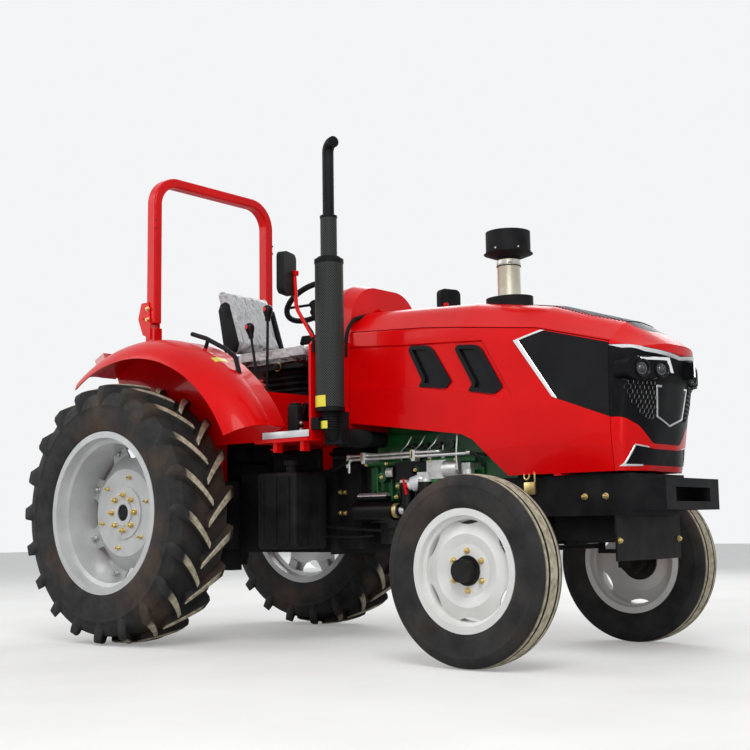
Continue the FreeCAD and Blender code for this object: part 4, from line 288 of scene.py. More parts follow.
def tyre_rubber(name, centre, tread_from, tread_to, clay):
    """Black rubber, dusty tan where the tread meets the ground, by distance from the axle."""
    material, shader, nodes, links = new_material(name)
    place = nodes.new("ShaderNodeTexCoord")
    shift = nodes.new("ShaderNodeMapping")
    shift.inputs["Location"].default_value = (-centre.x, 0, -centre.z)
    shift.inputs["Scale"].default_value = (1, 0, 1)
    links.new(place.outputs["Object"], shift.inputs["Vector"])
    reach = nodes.new("ShaderNodeVectorMath")
    reach.operation = "LENGTH"
    links.new(shift.outputs["Vector"], reach.inputs[0])
    wear = nodes.new("ShaderNodeMapRange")
    wear.interpolation_type = "SMOOTHSTEP"
    wear.inputs["From Min"].default_value = tread_from
    wear.inputs["From Max"].default_value = tread_to
    links.new(reach.outputs["Value"], wear.inputs["Value"])
    cloud = noise(nodes, links, place, 9, 6)
    ramp = colour_ramp(nodes, links, cloud, (0.010, 0.010, 0.011), (0.032, 0.031, 0.030))
    streaks = noise(nodes, links, place, 34, 8)
    patchy = colour_ramp(nodes, links, streaks, (0.27, 0.23, 0.155), (0.58, 0.52, 0.39), 0.3, 0.62)
    stains = noise(nodes, links, place, 3.2, 5)
    stained = colour_ramp(nodes, links, stains, (0, 0, 0), (clay, clay, clay), 0.5, 0.78)
    wall = mix_colours(nodes, links, stained.outputs["Color"], ramp.outputs["Color"], CLAY)
    mixed = mix_colours(nodes, links, wear.outputs["Result"], wall.outputs["Result"], patchy.outputs["Color"])
    links.new(mixed.outputs["Result"], shader.inputs["Base Color"])
    shader.inputs["Specular IOR Level"].default_value = 0.25
    roughness_from(nodes, links, streaks, shader, 0.55, 0.85)
    bump(nodes, links, noise(nodes, links, place, 260, 4), shader, 0.25, 0.0008)
    return material


def perforated(name):
    """Black sheet steel with rows of small round holes, for the heat shield."""
    material, shader, nodes, links = new_material(name)
    around = nodes.new("ShaderNodeUVMap")
    around.uv_map = "around"
    slant = nodes.new("ShaderNodeMapping")
    slant.inputs["Rotation"].default_value = (0, 0, math.radians(45))
    links.new(around.outputs["UV"], slant.inputs["Vector"])
    dots = nodes.new("ShaderNodeTexVoronoi")
    dots.inputs["Scale"].default_value = 105
    dots.inputs["Randomness"].default_value = 0.0
    links.new(slant.outputs["Vector"], dots.inputs["Vector"])
    ramp = colour_ramp(nodes, links, dots, (0.001, 0.001, 0.001), (0.055, 0.062, 0.058), 0.30, 0.40)
    links.new(ramp.outputs["Color"], shader.inputs["Base Color"])
    shader.inputs["Roughness"].default_value = 0.5
    shader.inputs["Specular IOR Level"].default_value = 0.12
    bump(nodes, links, dots, shader, 0.8, 0.002)
    return material


def clear_cover(name):
    """Thin crumpled clear film over grey and black seat cloth."""
    material, shader, nodes, links = new_material(name)
    place = nodes.new("ShaderNodeTexCoord")
    folds = noise(nodes, links, place, 11, 9, (1.0, 1.6, 0.7))
    folds.inputs["Distortion"].default_value = 1.4
    ramp = colour_ramp(nodes, links, folds, (0.24, 0.245, 0.25), (0.52, 0.53, 0.54), 0.33, 0.46)
    links.new(ramp.outputs["Color"], shader.inputs["Base Color"])
    shader.inputs["Roughness"].default_value = 0.25
    shader.inputs["Coat Weight"].default_value = 0.4
    shader.inputs["Coat Roughness"].default_value = 0.14
    bump(nodes, links, folds, shader, 0.9, 0.03)
    return material


def glow_lens(name, colour, rough=0.08):
    material, shader, nodes, links = new_material(name)
    place = nodes.new("ShaderNodeTexCoord")
    cloud = noise(nodes, links, place, 30, 2)
    ramp = colour_ramp(nodes, links, cloud, tuple(c * 0.8 for c in colour), colour)
    links.new(ramp.outputs["Color"], shader.inputs["Base Color"])
    shader.inputs["Roughness"].default_value = rough
    shader.inputs["Coat Weight"].default_value = 1.0
    shader.inputs["Coat Roughness"].default_value = 0.03
    return material


# Modelling steps shared by the pieces
X = Vector((1, 0, 0))
Y = Vector((0, 1, 0))
Z = Vector((0, 0, 1))


def vec(x, y, z):
    """Millimetres from the rear axle, or a length in millimetres, in metres."""
    return Vector((x, y, z)) * MM


def edit():
    bpy.ops.object.mode_set(mode="EDIT")


def leave():
    bpy.ops.object.mode_set(mode="OBJECT")


def only(*pieces):
    deselect()
    for piece in pieces:
        piece.select_set(True)
    bpy.context.view_layer.objects.active = pieces[0]


def named(name):
    piece = bpy.context.active_object
    piece.name = name
    return piece


def applied(piece):
    only(piece)
    bpy.ops.object.transform_apply(location=True, rotation=True, scale=True)
    return piece


def dressed(piece, material, body, slot, angle=35):
    """Shade a finished piece and put it on its body."""
    only(piece)
    bpy.ops.object.shade_smooth_by_angle(angle=math.radians(angle))
    piece.data.materials.clear()
    piece.data.materials.append(material)
    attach(piece, body)
    return piece


def trace(name, points):
    """A chain of edges through the points, in edit mode."""
    deselect()
    bpy.ops.mesh.primitive_plane_add(size=MM, location=(0, 0, 0))
    piece = named(name)
    edit()
    bpy.ops.mesh.merge(type="CENTER")
    bpy.ops.transform.translate(value=points[0])
    for before, after in zip(points, points[1:]):
        bpy.ops.mesh.extrude_vertices_move(TRANSFORM_OT_translate={"value": after - before})
    return piece


def tidy_mesh():
    """Merge what meets and turn every face outwards, in edit mode."""
    bpy.ops.mesh.select_all(action="SELECT")
    bpy.ops.mesh.remove_doubles(threshold=0.02 * MM)
    bpy.ops.mesh.normals_make_consistent(inside=False)


def turned(name, profile, centre, axis=Y, steps=72):
    """A closed (along, radius) outline in millimetres, spun about an axis through centre."""
    out = X if abs(axis.z) > 0.9 else Z
    out = (out - axis * out.dot(axis)).normalized()
    piece = trace(name, [centre + (axis * along + out * radius) * MM for along, radius in profile + profile[:1]])
    bpy.ops.mesh.select_all(action="SELECT")
    bpy.ops.mesh.spin(steps=steps, angle=2 * math.pi, center=centre, axis=axis)
    tidy_mesh()
    leave()
    return piece


def plate(name, outline, through):
    """A flat outline given a thickness along the vector through."""
    piece = trace(name, outline + outline[:1])
    bpy.ops.mesh.select_all(action="SELECT")
    bpy.ops.mesh.remove_doubles(threshold=0.02 * MM)
    bpy.ops.mesh.edge_face_add()
    bpy.ops.mesh.extrude_region_move(TRANSFORM_OT_translate={"value": through})
    tidy_mesh()
    leave()
    return piece


def rounded(piece, width, segments=2, angle=30):
    """Round a piece's sharp edges."""
    only(piece)
    cut = piece.modifiers.new("round", "BEVEL")
    cut.width = width * MM
    cut.segments = segments
    cut.limit_method = "ANGLE"
    cut.angle_limit = math.radians(angle)
    bpy.ops.object.modifier_apply(modifier=cut.name)
    return piece


def block(name, low, high, width=2, segments=2):
    """A box between two corners with rounded edges."""
    deselect()
    bpy.ops.mesh.primitive_cube_add(size=1, location=(low + high) / 2, scale=high - low)
    return rounded(applied(named(name)), width, segments)


def drum(name, start, end, radius, width=1.5, sides=32):
    """A round bar with softened ends."""
    run = end - start
    deselect()
    bpy.ops.mesh.primitive_cylinder_add(
        vertices=sides, radius=radius * MM, depth=run.length, location=(start + end) / 2,
        rotation=run.to_track_quat("Z", "Y").to_euler(),
    )
    return rounded(applied(named(name)), width, 2, 50)


def pipe(name, points, radius, bend=20, sides=4):
    """A round pipe through the points, its corners rounded."""
    piece = trace(name, points)
    if len(points) > 2 and bend:
        bpy.ops.mesh.select_all(action="SELECT")
        pick(piece, lambda spot: (spot - points[0]).length > MM and (spot - points[-1]).length > MM)
        bpy.ops.mesh.bevel(offset=bend * MM, segments=6, affect="VERTICES")
    leave()
    only(piece)
    bpy.ops.object.convert(target="CURVE")
    piece = bpy.context.active_object
    piece.data.bevel_depth = radius * MM
    piece.data.bevel_resolution = sides
    piece.data.use_fill_caps = True
    bpy.ops.object.convert(target="MESH")
    return named(name)


def pick(piece, rule, kind="VERT"):
    """In edit mode, leave selected only the corners, edges or faces whose middle passes the rule."""
    bpy.ops.mesh.select_mode(type=kind)
    bpy.ops.mesh.select_all(action="DESELECT")
    mesh = bmesh.from_edit_mesh(piece.data)
    if kind == "VERT":
        for corner in mesh.verts:
            corner.select = rule(corner.co)
    elif kind == "FACE":
        for face in mesh.faces:
            face.select = rule(face.calc_center_median(), face.normal)
    else:
        for edge in mesh.edges:
            edge.select = rule((edge.verts[0].co + edge.verts[1].co) / 2, edge)
    mesh.select_flush_mode()
    bmesh.update_edit_mesh(piece.data)


def formed(piece, rule):
    """Move every corner of a piece to where the rule puts it."""
    for corner in piece.data.vertices:
        corner.co = rule(corner.co)
    piece.data.update()
    return piece


def outwards(piece):
    only(piece)
    edit()
    tidy_mesh()
    leave()
    return piece


def repeated(name, master, places):
    """Copies of a master at each place, each with its own mesh, joined; the master goes."""
    copies = []
    for place in places:
        copy = master.copy()
        copy.data = master.data.copy()
        bpy.context.scene.collection.objects.link(copy)
        copy.data.transform(place)
        if place.determinant() < 0:
            copy.data.flip_normals()
        copies.append(copy)
    bpy.data.objects.remove(master)
    only(*copies)
    if len(copies) > 1:
        bpy.ops.object.join()
    return named(name)


def facing(spot, direction, turn=0.0):
    """A place whose Z runs along a direction."""
    return Matrix.Translation(spot) @ direction.to_track_quat("Z", "Y").to_matrix().to_4x4() @ Matrix.Rotation(turn, 4, "Z")


def about_axle(centre, angle):
    """A turn about a line along Y through a wheel's centre."""
    return Matrix.Translation(centre) @ Matrix.Rotation(angle, 4, "Y") @ Matrix.Translation(-centre)


def nut_master(name, across, height, stud=0.0):
    """A six sided nut standing on the origin, with its washer and the stud's end."""
    deselect()
    bpy.ops.mesh.primitive_cylinder_add(
        vertices=6, radius=across * MM / math.sqrt(3), depth=height * MM, location=(0, 0, height * MM / 2)
    )
    nut = rounded(applied(named(name)), height * 0.12, 1, 20)
    washer = drum(name + "_washer", Vector(), vec(0, 0, height * 0.16), across * 0.66, height * 0.04, 20)
    parts = [nut, washer]
    if stud:
        parts.append(drum(name + "_stud", Vector(), vec(0, 0, height + stud), across * 0.29, across * 0.05, 12))
    only(*parts)
    bpy.ops.object.join()
    return named(name)


# Trim laid on the body's skin
def touch(nodes, spot, way):
    """Where a line from a spot first meets any of the nodes, and the skin's direction there."""
    best = None
    for name in nodes:
        met, place, normal, _ = frame["nodes"][name].ray_cast(spot, way)
        if met and (best is None or (place - best[0]).dot(way) < 0):
            best = (place, normal)
    if best:
        return best
    near = [frame["nodes"][name].closest_point_on_mesh(spot) for name in nodes]
    met, place, normal, _ = min(near, key=lambda found: (found[1] - spot).length)
    return place, normal


def thickened(piece, height, way):
    """Give a sheet a height on the side that the way comes from."""
    only(piece)
    lean = sum((face.normal for face in piece.data.polygons), Vector())
    if lean.dot(way) > 0:
        piece.data.flip_normals()
    wall = piece.modifiers.new("height", "SOLIDIFY")
    wall.thickness = height * MM
    wall.offset = 1
    bpy.ops.object.modifier_apply(modifier=wall.name)
    return piece


def laid(name, nodes, edge_a, edge_b, way, height, steps=8, across=2):
    """A strip between two lines of places, pressed onto the nodes along a direction."""
    spans = len(edge_a) - 1
    deselect()
    bpy.ops.mesh.primitive_grid_add(x_subdivisions=spans * steps, y_subdivisions=across, size=1)
    piece = named(name)

    def rule(spot):
        along = (spot.x + 0.5) * spans
        index = min(int(along + 0.001), spans - 1)
        first = edge_a[index].lerp(edge_a[index + 1], along - index)
        second = edge_b[index].lerp(edge_b[index + 1], along - index)
        start = first.lerp(second, spot.y + 0.5)
        return touch(nodes, start, way)[0]

    formed(piece, rule)
    return thickened(piece, height, way)


def inside_outline(u, v, outline):
    """Whether a place lies inside a closed outline of (u, v) points."""
    inside = False
    for (u1, v1), (u2, v2) in zip(outline, outline[1:] + outline[:1]):
        if (v1 > v) != (v2 > v) and u < (u2 - u1) * (v - v1) / (v2 - v1) + u1:
            inside = not inside
    return inside


def hex_mesh(name, nodes, outline, across, wire, place_at, way, height):
    """A honeycomb grille over an outline of (u, v) points, pressed onto the nodes."""
    radius = across / math.sqrt(3)
    low_u, low_v = min(u for u, v in outline), min(v for u, v in outline)
    high_u, high_v = max(u for u, v in outline), max(v for u, v in outline)
    places = []
    row = 0
    v = low_v
    while v < high_v:
        u = low_u + (across / 2 if row % 2 else 0)
        while u < high_u:
            if inside_outline(u, v, outline):
                places.append(Matrix.Translation(vec(u, v, 0)))
            u += across
        v += radius * 1.5
        row += 1
    deselect()
    bpy.ops.mesh.primitive_circle_add(
        vertices=6, radius=radius * MM, fill_type="NGON", rotation=(0, 0, 0), location=(0, 0, 0)
    )
    cell = applied(named("cell"))
    sheet = repeated(name, cell, places)
    only(sheet)
    edit()
    bpy.ops.mesh.select_all(action="SELECT")
    bpy.ops.mesh.remove_doubles(threshold=0.6 * MM)
    leave()
    web = sheet.modifiers.new("web", "WIREFRAME")
    web.thickness = wire * MM
    web.use_replace = True
    web.use_even_offset = False
    bpy.ops.object.modifier_apply(modifier=web.name)
    half = wire / 2 * MM

    def rule(spot):
        start = place_at(spot.x / MM, spot.y / MM)
        place, normal = touch(nodes, start, way)
        return place + normal * ((spot.z + half) / (2 * half) * height * MM)

    return formed(sheet, rule)


# Nose and bonnet trim
SHELL = ["bonnet_lid", "bonnet_side_panels", "side_grilles", "nose_grilles"]
AHEAD = 3400
OVER = 2600
# Columns: name, its outer line and its inner line as (x, z) on the side of the bonnet
SIDE_TRIM = [
    ("wedge_trim", [(2523, 1574), (2369, 1536), (2586, 1241)], [(2548, 1568), (2402, 1533), (2613, 1232)]),
]
# Columns: name, its two lines as (y, z) on the right half of the nose, seen from ahead, height and finish
NOSE_TRIM = [
    ("brow_strip", [(-318, 1462), (-250, 1443), (0, 1415)], [(-312, 1441), (-250, 1424), (0, 1398)], 3, "pale"),
    ("lamp_brow", [(-283, 1397), (-128, 1399), (-108, 1326)], [(-280, 1383), (-142, 1384), (-124, 1326)], 5, "chrome"),
    ("shield_trim", [(-152, 1268), (-128, 1126), (0, 1086)], [(-143, 1268), (-119, 1133), (0, 1096)], 5, "chrome"),
    ("shield_foot", [(-152, 1276), (-112, 1276)], [(-152, 1266), (-112, 1266)], 5, "chrome"),
    ("insert_edge", [(-250, 999), (-302, 898), (-196, 898)], [(-241, 996), (-286, 908), (-196, 907)], 4, "chrome"),
    ("insert_top", [(-250, 1001), (-160, 990)], [(-247, 994), (-160, 984)], 3, "pale"),
]


def side_spot(side, x, z):
    return at(x, side * 700, z)


def front_spot(y, z):
    return at(AHEAD, y, z)


def make_nose_trim(chrome, pale):
    finishes = {"chrome": chrome, "pale": pale}
    for way_name, side in SIDES.items():
        for name, outer, inner in SIDE_TRIM:
            lines = [[side_spot(side, x, z) for x, z in line] for line in (outer, inner)]
            trim = laid(name + "_" + way_name, SHELL, lines[0], lines[1], Vector((0, -side, 0)), 5)
            dressed(rounded(trim, 1.2, 1, 40), chrome, "chassis", "rim_silver")
        for name, outer, inner, height, tone in NOSE_TRIM:
            lines = [[front_spot(-side * y, z) for y, z in line] for line in (outer, inner)]
            trim = laid(name + "_" + way_name, SHELL, lines[0], lines[1], -X, height)
            dressed(rounded(trim, 1, 1, 40), finishes[tone], "bonnet", "rim_silver")


MESH_FIELDS = [
    [(-326, 1290), (-326, 1256), (-262, 1172), (-196, 1118), (-148, 1108), (-168, 1286), (-240, 1292)],
]


def make_nose_mesh(gloss):
    for way_name, side in SIDES.items():
        for index, outline in enumerate(MESH_FIELDS):
            turned_out = [(-side * y, z) for y, z in outline]
            sheet = hex_mesh(
                f"nose_mesh_{way_name}_{index}", ["nose_grilles"], turned_out, 25, 5.0, front_spot, -X, 5
            )
            dressed(sheet, gloss, "bonnet", "gloss_black", 20)


# Headlamps: how far out each stands and its radius, their height, and the pod's corner and the lean of its face
LAMPS = [(272, 38), (168, 36)]
LAMP_Z = 1343
POD_CORNER = (3002, 352)
POD_LEAN = math.radians(23)


def make_headlamps():
    for name, side in SIDES.items():
        out = Vector((math.cos(POD_LEAN), side * math.sin(POD_LEAN), 0))
        for index, (y, radius) in enumerate(LAMPS):
            face = at(POD_CORNER[0] - (y - POD_CORNER[1]) * math.tan(POD_LEAN), side * y, LAMP_Z)
            tag = f"{name}_{index}"
            rim = [(-9, radius - 7), (-9, radius - 1), (1, radius + 6), (5, radius + 6), (7, radius + 2), (3, radius - 4)]
            dressed(turned("lamp_bezel_" + tag, rim, face, out, 48), GLOSS, "bonnet", "gloss_black", 30)
            bowl = [(-10, 0.2), (-10, radius - 5), (-2, radius - 5), (-6, radius * 0.62), (-7, 0.2)]
            dressed(turned("lamp_bowl_" + tag, bowl, face, out, 48), GLOSS, "bonnet", "gloss_black", 40)
            # A chrome ring cut down to its upper arc: a painted highlight, the crescent that shows on the lens.
            ring = [(-8, radius * 0.58), (-2, radius * 0.60), (-1, radius * 0.62), (-2, radius * 0.64), (-8, radius * 0.66)]
            crescent_highlight = turned("lamp_highlight_crescent_" + tag, ring, face, out, 48)
            edit()
            bpy.ops.mesh.select_all(action="SELECT")
            bpy.ops.mesh.bisect(plane_co=face + vec(0, 0, 4), plane_no=(0, side * 0.35, 1), clear_inner=True, use_fill=True)
            leave()
            dressed(crescent_highlight, CHROME, "bonnet", "rim_silver", 40)
            glass = [(-8, 0.2), (-8, radius * 0.57), (-3, radius * 0.52), (1, radius * 0.38), (3.5, radius * 0.18), (4, 0.2)]
            dressed(turned("lamp_glass_" + tag, glass, face, out, 48), DIM_GLASS, "bonnet", "lamp_lens", 50)


# The louvred panel on the bonnet's top, from its rear end to its front, as (x, half width)
TOP_PANEL = [(2330, 100), (2480, 138), (2700, 160), (2900, 130)]


def make_top_louvres():
    """Slats across the panel, each pressed onto the top."""
    slats = []
    x = TOP_PANEL[0][0]
    while x < TOP_PANEL[-1][0]:
        for (x1, half1), (x2, half2) in zip(TOP_PANEL, TOP_PANEL[1:]):
            if x1 <= x < x2:
                half = half1 + (half2 - half1) * (x - x1) / (x2 - x1)
        rear = [at(x, y, 2600) for y in (-half, -half / 2, 0, half / 2, half)]
        front = [at(x + 9, y, 2600) for y in (-half, -half / 2, 0, half / 2, half)]
        slats.append(laid("slat", SHELL, rear, front, -Z, 4, 4, 1))
        x += 19
    only(*slats)
    bpy.ops.object.join()
    dressed(rounded(named("top_louvres"), 1, 1, 40), SLATE, "bonnet", "gloss_black", 30)


# Pre-cleaner over the bonnet
CLEANER = (2135, 1725, 2026)


def make_cleaner(zinc, black, steel):
    foot = at(CLEANER[0], 0, 0)
    low, high = CLEANER[1:]
    sleeve = [(low, 57), (low, 60.5), (high - 34, 60.5), (high - 31, 62), (high - 4, 62), (high - 4, 57)]
    dressed(turned("cleaner_pipe", sleeve, foot, Z, 64), zinc, "bonnet", "zinc_yellow")
    band = [(high - 26, 61), (high - 26, 64), (high - 14, 64), (high - 14, 61)]
    bead = [(high - 38, 61), (high - 38, 64.5), (high - 33, 65), (high - 33, 61)]
    dressed(turned("cleaner_clamp", band, foot, Z, 64), steel, "bonnet", "bare_steel")
    dressed(turned("cleaner_bead", bead, foot, Z, 64), black, "bonnet", "matt_black")
    stud = block("clamp_screw", at(CLEANER[0] + 40, -66, high - 27), at(CLEANER[0] + 64, -52, high - 13), 2)
    dressed(stud, steel, "bonnet", "bare_steel")
    ring = turned("cleaner_foot", [(1690, 58), (1690, 108), (1724, 104), (1728, 98), (1728, 58)], foot, Z, 64)
    for corner in ring.data.vertices:
        corner.co.x = foot.x + (corner.co.x - foot.x) * 1.23
    dressed(ring, RED, "bonnet", "red_paint", 30)
    rivets = []
    for degrees in range(-150, 181, 60):
        angle = math.radians(degrees)
        spot = at(CLEANER[0] + 117.5 * math.cos(angle), 117.5 * math.sin(angle), 2076)
        rivets.append(facing(spot, Vector((math.cos(angle), math.sin(angle), 0))))
    dressed(repeated("cleaner_rivets", nut_master("rivet", 9, 2.0), rivets), steel, "bonnet", "bare_steel")
    knob = turned("cleaner_knob", [(2172, 0.2), (2172, 9), (2178, 8), (2180, 0.2)], foot, Z, 20)
    dressed(knob, black, "bonnet", "matt_black")


# Tyres
REAR_TYRE = {
    "half": 190, "outer": 739, "lugs": 20,
    "outline": [
        (-160, 432.5), (-160, 460.5), (-171, 466), (-176, 480), (-180, 500), (-185, 540), (-187, 585), (-186, 600),
        (-187.5, 604), (-187, 612), (-184, 616), (-180, 645), (-172, 668), (-158, 684), (-120, 692), (-60, 696), (0, 697),
        (60, 696), (120, 692), (158, 684), (172, 668), (180, 645), (184, 616), (187, 612), (187.5, 604), (186, 600),
        (187, 585), (185, 540), (180, 500), (176, 480), (171, 466), (160, 460.5), (160, 432.5),
    ],
}
# Stations along a lug, from the tread's middle over the shoulder and down the side.
# Columns: outer out and radius, inner out and radius, half width outside and inside, turn in degrees
LUG_STATIONS = [
    (-14, 738.6, -14, 692, 16, 26, -15.0),
    (22, 738.6, 22, 692, 18, 28, -11.6),
    (62, 738.0, 62, 690, 20, 31, -8.2),
    (104, 736.0, 104, 688, 23, 34, -5.0),
    (146, 731.0, 140, 680, 26, 38, -2.3),
    (180, 722.0, 168, 664, 30, 42, -0.6),
    (187.8, 700.0, 174, 640, 30, 41, 0.0),
    (187.8, 655.0, 178, 615, 19, 30, 0.5),
    (187.8, 606.0, 182, 590, 6, 12, 0.8),
]


def lug_master(centre, side):
    """One tread bar, bent over the shoulder, at the wheel's front."""
    deselect()
    bpy.ops.mesh.primitive_cube_add(size=2, location=(0, 0, 0))
    lug = named("lug")
    last = len(LUG_STATIONS) - 1
    edit()
    for index in range(1, last):
        bpy.ops.mesh.select_all(action="SELECT")
        bpy.ops.mesh.bisect(plane_co=(2 * index / last - 1, 0, 0), plane_no=(1, 0, 0))
    leave()

    def rule(spot):
        out_a, radius_a, out_b, radius_b, half_a, half_b, turn = LUG_STATIONS[round((spot.x + 1) / 2 * last)]
        outer = spot.z > 0
        out, radius, half = (out_a, radius_a, half_a) if outer else (out_b, radius_b, half_b)
        angle = math.radians(turn) + spot.y * half / radius
        return centre + Vector((math.cos(angle) * radius, side * out, math.sin(angle) * radius)) * MM

    formed(lug, rule)
    outwards(lug)
    return rounded(lug, 3, 1, 40)


def make_rear_tyre(name, side):
    centre = middle_of("rear_tyre_" + name)
    rubber = tyre_rubber("rear_tread_" + name, centre, 0.727, 0.735, 0.42)
    carcass = turned("rear_carcass_" + name, REAR_TYRE["outline"], centre, Y, 96)
    step = 2 * math.pi / REAR_TYRE["lugs"]
    bars = []
    for way in (-1, 1):
        offset = 0 if way == side else step / 2
        places = [about_axle(centre, step * index + offset) for index in range(REAR_TYRE["lugs"])]
        bars.append(repeated("lugs", lug_master(centre, way), places))
    only(carcass, *bars)
    bpy.ops.object.join()
    tyre = dressed(named("rear_tyre_dressed_" + name), rubber, "rear_wheel_" + name, "tyre_rubber", 30)
    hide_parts("rear_tyre_" + name)


FRONT_TYRE_OUTLINE = [
    (-67.5, 254.5), (-67.5, 280.5), (-75, 284), (-79, 292), (-82, 300), (-83, 303), (-86, 318), (-89, 345), (-89.6, 362),
    (-88.5, 380), (-90, 384), (-88, 392), (-84, 408), (-78, 420), (-70, 429), (-66, 430.5),
    (-45, 433.5), (-43, 432), (-41, 418), (-28, 418), (-26, 433), (-24, 435),
    (0, 435.8),
    (24, 435), (26, 433), (28, 418), (41, 418), (43, 432), (45, 433.5),
    (66, 430.5), (70, 429), (78, 420), (84, 408), (88, 392), (90, 384), (88.5, 380),
    (89.6, 362), (89, 345), (86, 318), (83, 303), (82, 300), (79, 292), (75, 284), (67.5, 280.5), (67.5, 254.5),
]


def make_front_tyre(name, side):
    centre = middle_of("front_tyre_" + name)
    rubber = tyre_rubber("front_tread_" + name, centre, 0.4302, 0.4325, 0.16)
    tyre = turned("front_tyre_dressed_" + name, FRONT_TYRE_OUTLINE, centre, Y, 128)
    dressed(tyre, rubber, "front_wheel_" + name, "tyre_rubber", 30)
    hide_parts("front_tyre_" + name)


# Exhaust stack
STACK = (1376, -575)


def wrap_plate(name, centre, radius, start_deg, end_deg, low, high, height):
    """A thin plate bent round an upright pipe, between two angles and two heights."""
    deselect()
    bpy.ops.mesh.primitive_grid_add(x_subdivisions=16, y_subdivisions=2, size=1)
    piece = named(name)

    def rule(spot):
        angle = math.radians(start_deg + (spot.x + 0.5) * (end_deg - start_deg))
        z = low + (spot.y + 0.5) * (high - low)
        return at(centre[0] + radius * math.cos(angle), centre[1] + radius * math.sin(angle), z)

    formed(piece, rule)
    middle = math.radians((start_deg + end_deg) / 2)
    return thickened(piece, height, Vector((-math.cos(middle), -math.sin(middle), 0)))


def wrapped_map(piece, centre, radius):
    """A map in metres round an upright pipe and up it, for the pattern of holes."""
    mesh = piece.data
    layer = mesh.uv_layers.new(name="around")
    for face in mesh.polygons:
        middle = math.atan2(face.center.y - centre.y, face.center.x - centre.x)
        for loop in face.loop_indices:
            spot = mesh.vertices[mesh.loops[loop].vertex_index].co
            angle = math.atan2(spot.y - centre.y, spot.x - centre.x)
            if angle - middle > math.pi:
                angle -= 2 * math.pi
            if middle - angle > math.pi:
                angle += 2 * math.pi
            layer.data[loop].uv = (angle * radius * MM, spot.z)


def make_exhaust(shield, black, yellow, chrome):
    foot = at(STACK[0], STACK[1], 0)
    skins = []
    for low, high, radius in ((1262, 2034, 76), (2062, 2282, 44.5)):
        profile = [(low, radius - 1.5), (low, radius), (high, radius), (high, radius - 1.5)]
        skins.append(turned("shield", profile, foot, Z, 64))
        wrapped_map(skins[-1], foot, radius)
    only(*skins)
    bpy.ops.object.join()
    dressed(named("stack_heat_shield"), shield, "chassis", "black_paint")
    collars = []
    for low, high, radius in ((1240, 1264, 77.5), (2030, 2054, 79), (2056, 2066, 62), (2278, 2292, 47)):
        profile = [(low, radius - 6), (low, radius - 2), (low + 2, radius), (high - 2, radius), (high, radius - 2), (high, radius - 6)]
        collars.append(turned("collar", profile, foot, Z, 64))
    only(*collars)
    bpy.ops.object.join()
    dressed(named("stack_collars"), black, "chassis", "black_paint")
    big = wrap_plate("stack_label", STACK, 77, -134, -66, 1262, 1322, 1.2)
    small = wrap_plate("stack_small_label", STACK, 50.5, -138, -66, 1150, 1190, 1.2)
    dressed(rounded(big, 0.4, 1, 40), yellow, "chassis", "zinc_yellow")
    dressed(rounded(small, 0.4, 1, 40), yellow, "chassis", "zinc_yellow")


def ribbed(name, start, end, inner, outer, count):
    """A corrugated rubber sleeve from start to end."""
    run = end - start
    step = run.length / MM / count
    profile = [(0, inner - 3)]
    for index in range(count):
        foot = index * step
        profile += [(foot + step * 0.1, inner), (foot + step * 0.3, outer)]
        profile += [(foot + step * 0.7, outer), (foot + step * 0.9, inner)]
    profile.append((count * step, inner - 3))
    return turned(name, profile, start, run.normalized(), 40)


# Bolts: place, direction, across flats, height, body and finish
BOLTS = [
    ("frame_bolts", [(2708, -270, 763), (2820, -270, 764)], (0, -1, 0), 24, 15, "chassis", "gold"),
    ("frame_bolts_left", [(2708, 270, 763), (2820, 270, 764)], (0, 1, 0), 24, 15, "chassis", "gold"),
    ("guard_bolts", [(2886, -294, 559), (2886, 294, 559)], (1, 0, 0), 22, 12, "chassis", "gold"),
    ("bell_bolts", [(1107, -246, 832), (1152, -246, 831), (1107, -246, 717), (1152, -246, 716)], (0, -1, 0), 22, 16,
     "chassis", "gold"),
    ("bell_bolts_left", [(1107, 246, 832), (1152, 246, 831), (1107, 246, 717), (1152, 246, 716)], (0, 1, 0), 22, 16,
     "chassis", "gold"),
    ("sump_bolts", [(1560, -262, 793), (1622, -262, 791)], (0, -1, 0), 17, 12, "chassis", "gold"),
    ("post_hinge_bolts", [(-176, -556, 1988), (-176, -556, 1921)], (0, -1, 0), 22, 12, "chassis", "gold"),
    ("post_hinge_bolts_left", [(-176, 556, 1988), (-176, 556, 1921)], (0, 1, 0), 22, 12, "chassis", "gold"),
]


BOLTED = ["front_frame", "radiator_guard", "gearbox_housing", "engine", "rops_posts", "rops_hoop", "radiator"]


def make_bolts():
    finishes = {"gold": (GOLD, "zinc_yellow"), "steel": (STEEL, "bare_steel")}
    for name, spots, way, across, height, body, tone in BOLTS:
        direction = Vector(way)
        places = []
        for index, (x, y, z) in enumerate(spots):
            spot = at(x, y, z)
            near = touch(BOLTED, spot + direction * 0.05, -direction)[0]
            places.append(facing(near if (near - spot).length < 0.06 else spot, direction, 0.4 + index * 0.7))
        bolts = repeated(name, nut_master("bolt", across, height, 5), places)
        material, slot = finishes[tone]
        dressed(bolts, material, body, slot)


# Engine's sides
ENGINE_HALF = 262
CAST_BOSSES = [(1470, 900, 30), (1700, 930, 26), (1830, 850, 34), (1950, 900, 24), (1580, 850, 22)]


def flank(side, x, z, out=0):
    """A place on the engine's side, or so far out from it."""
    return at(x, side * (ENGINE_HALF + out), z)


def cast_block(name, side, low, high, out):
    """A block on the engine's side between two places given as (x, z), sunk 30 into the casting."""
    near, far = sorted((side * (ENGINE_HALF - 30), side * (ENGINE_HALF + out)))
    return block(name, at(low[0], near, low[1]), at(high[0], far, high[1]), 3)


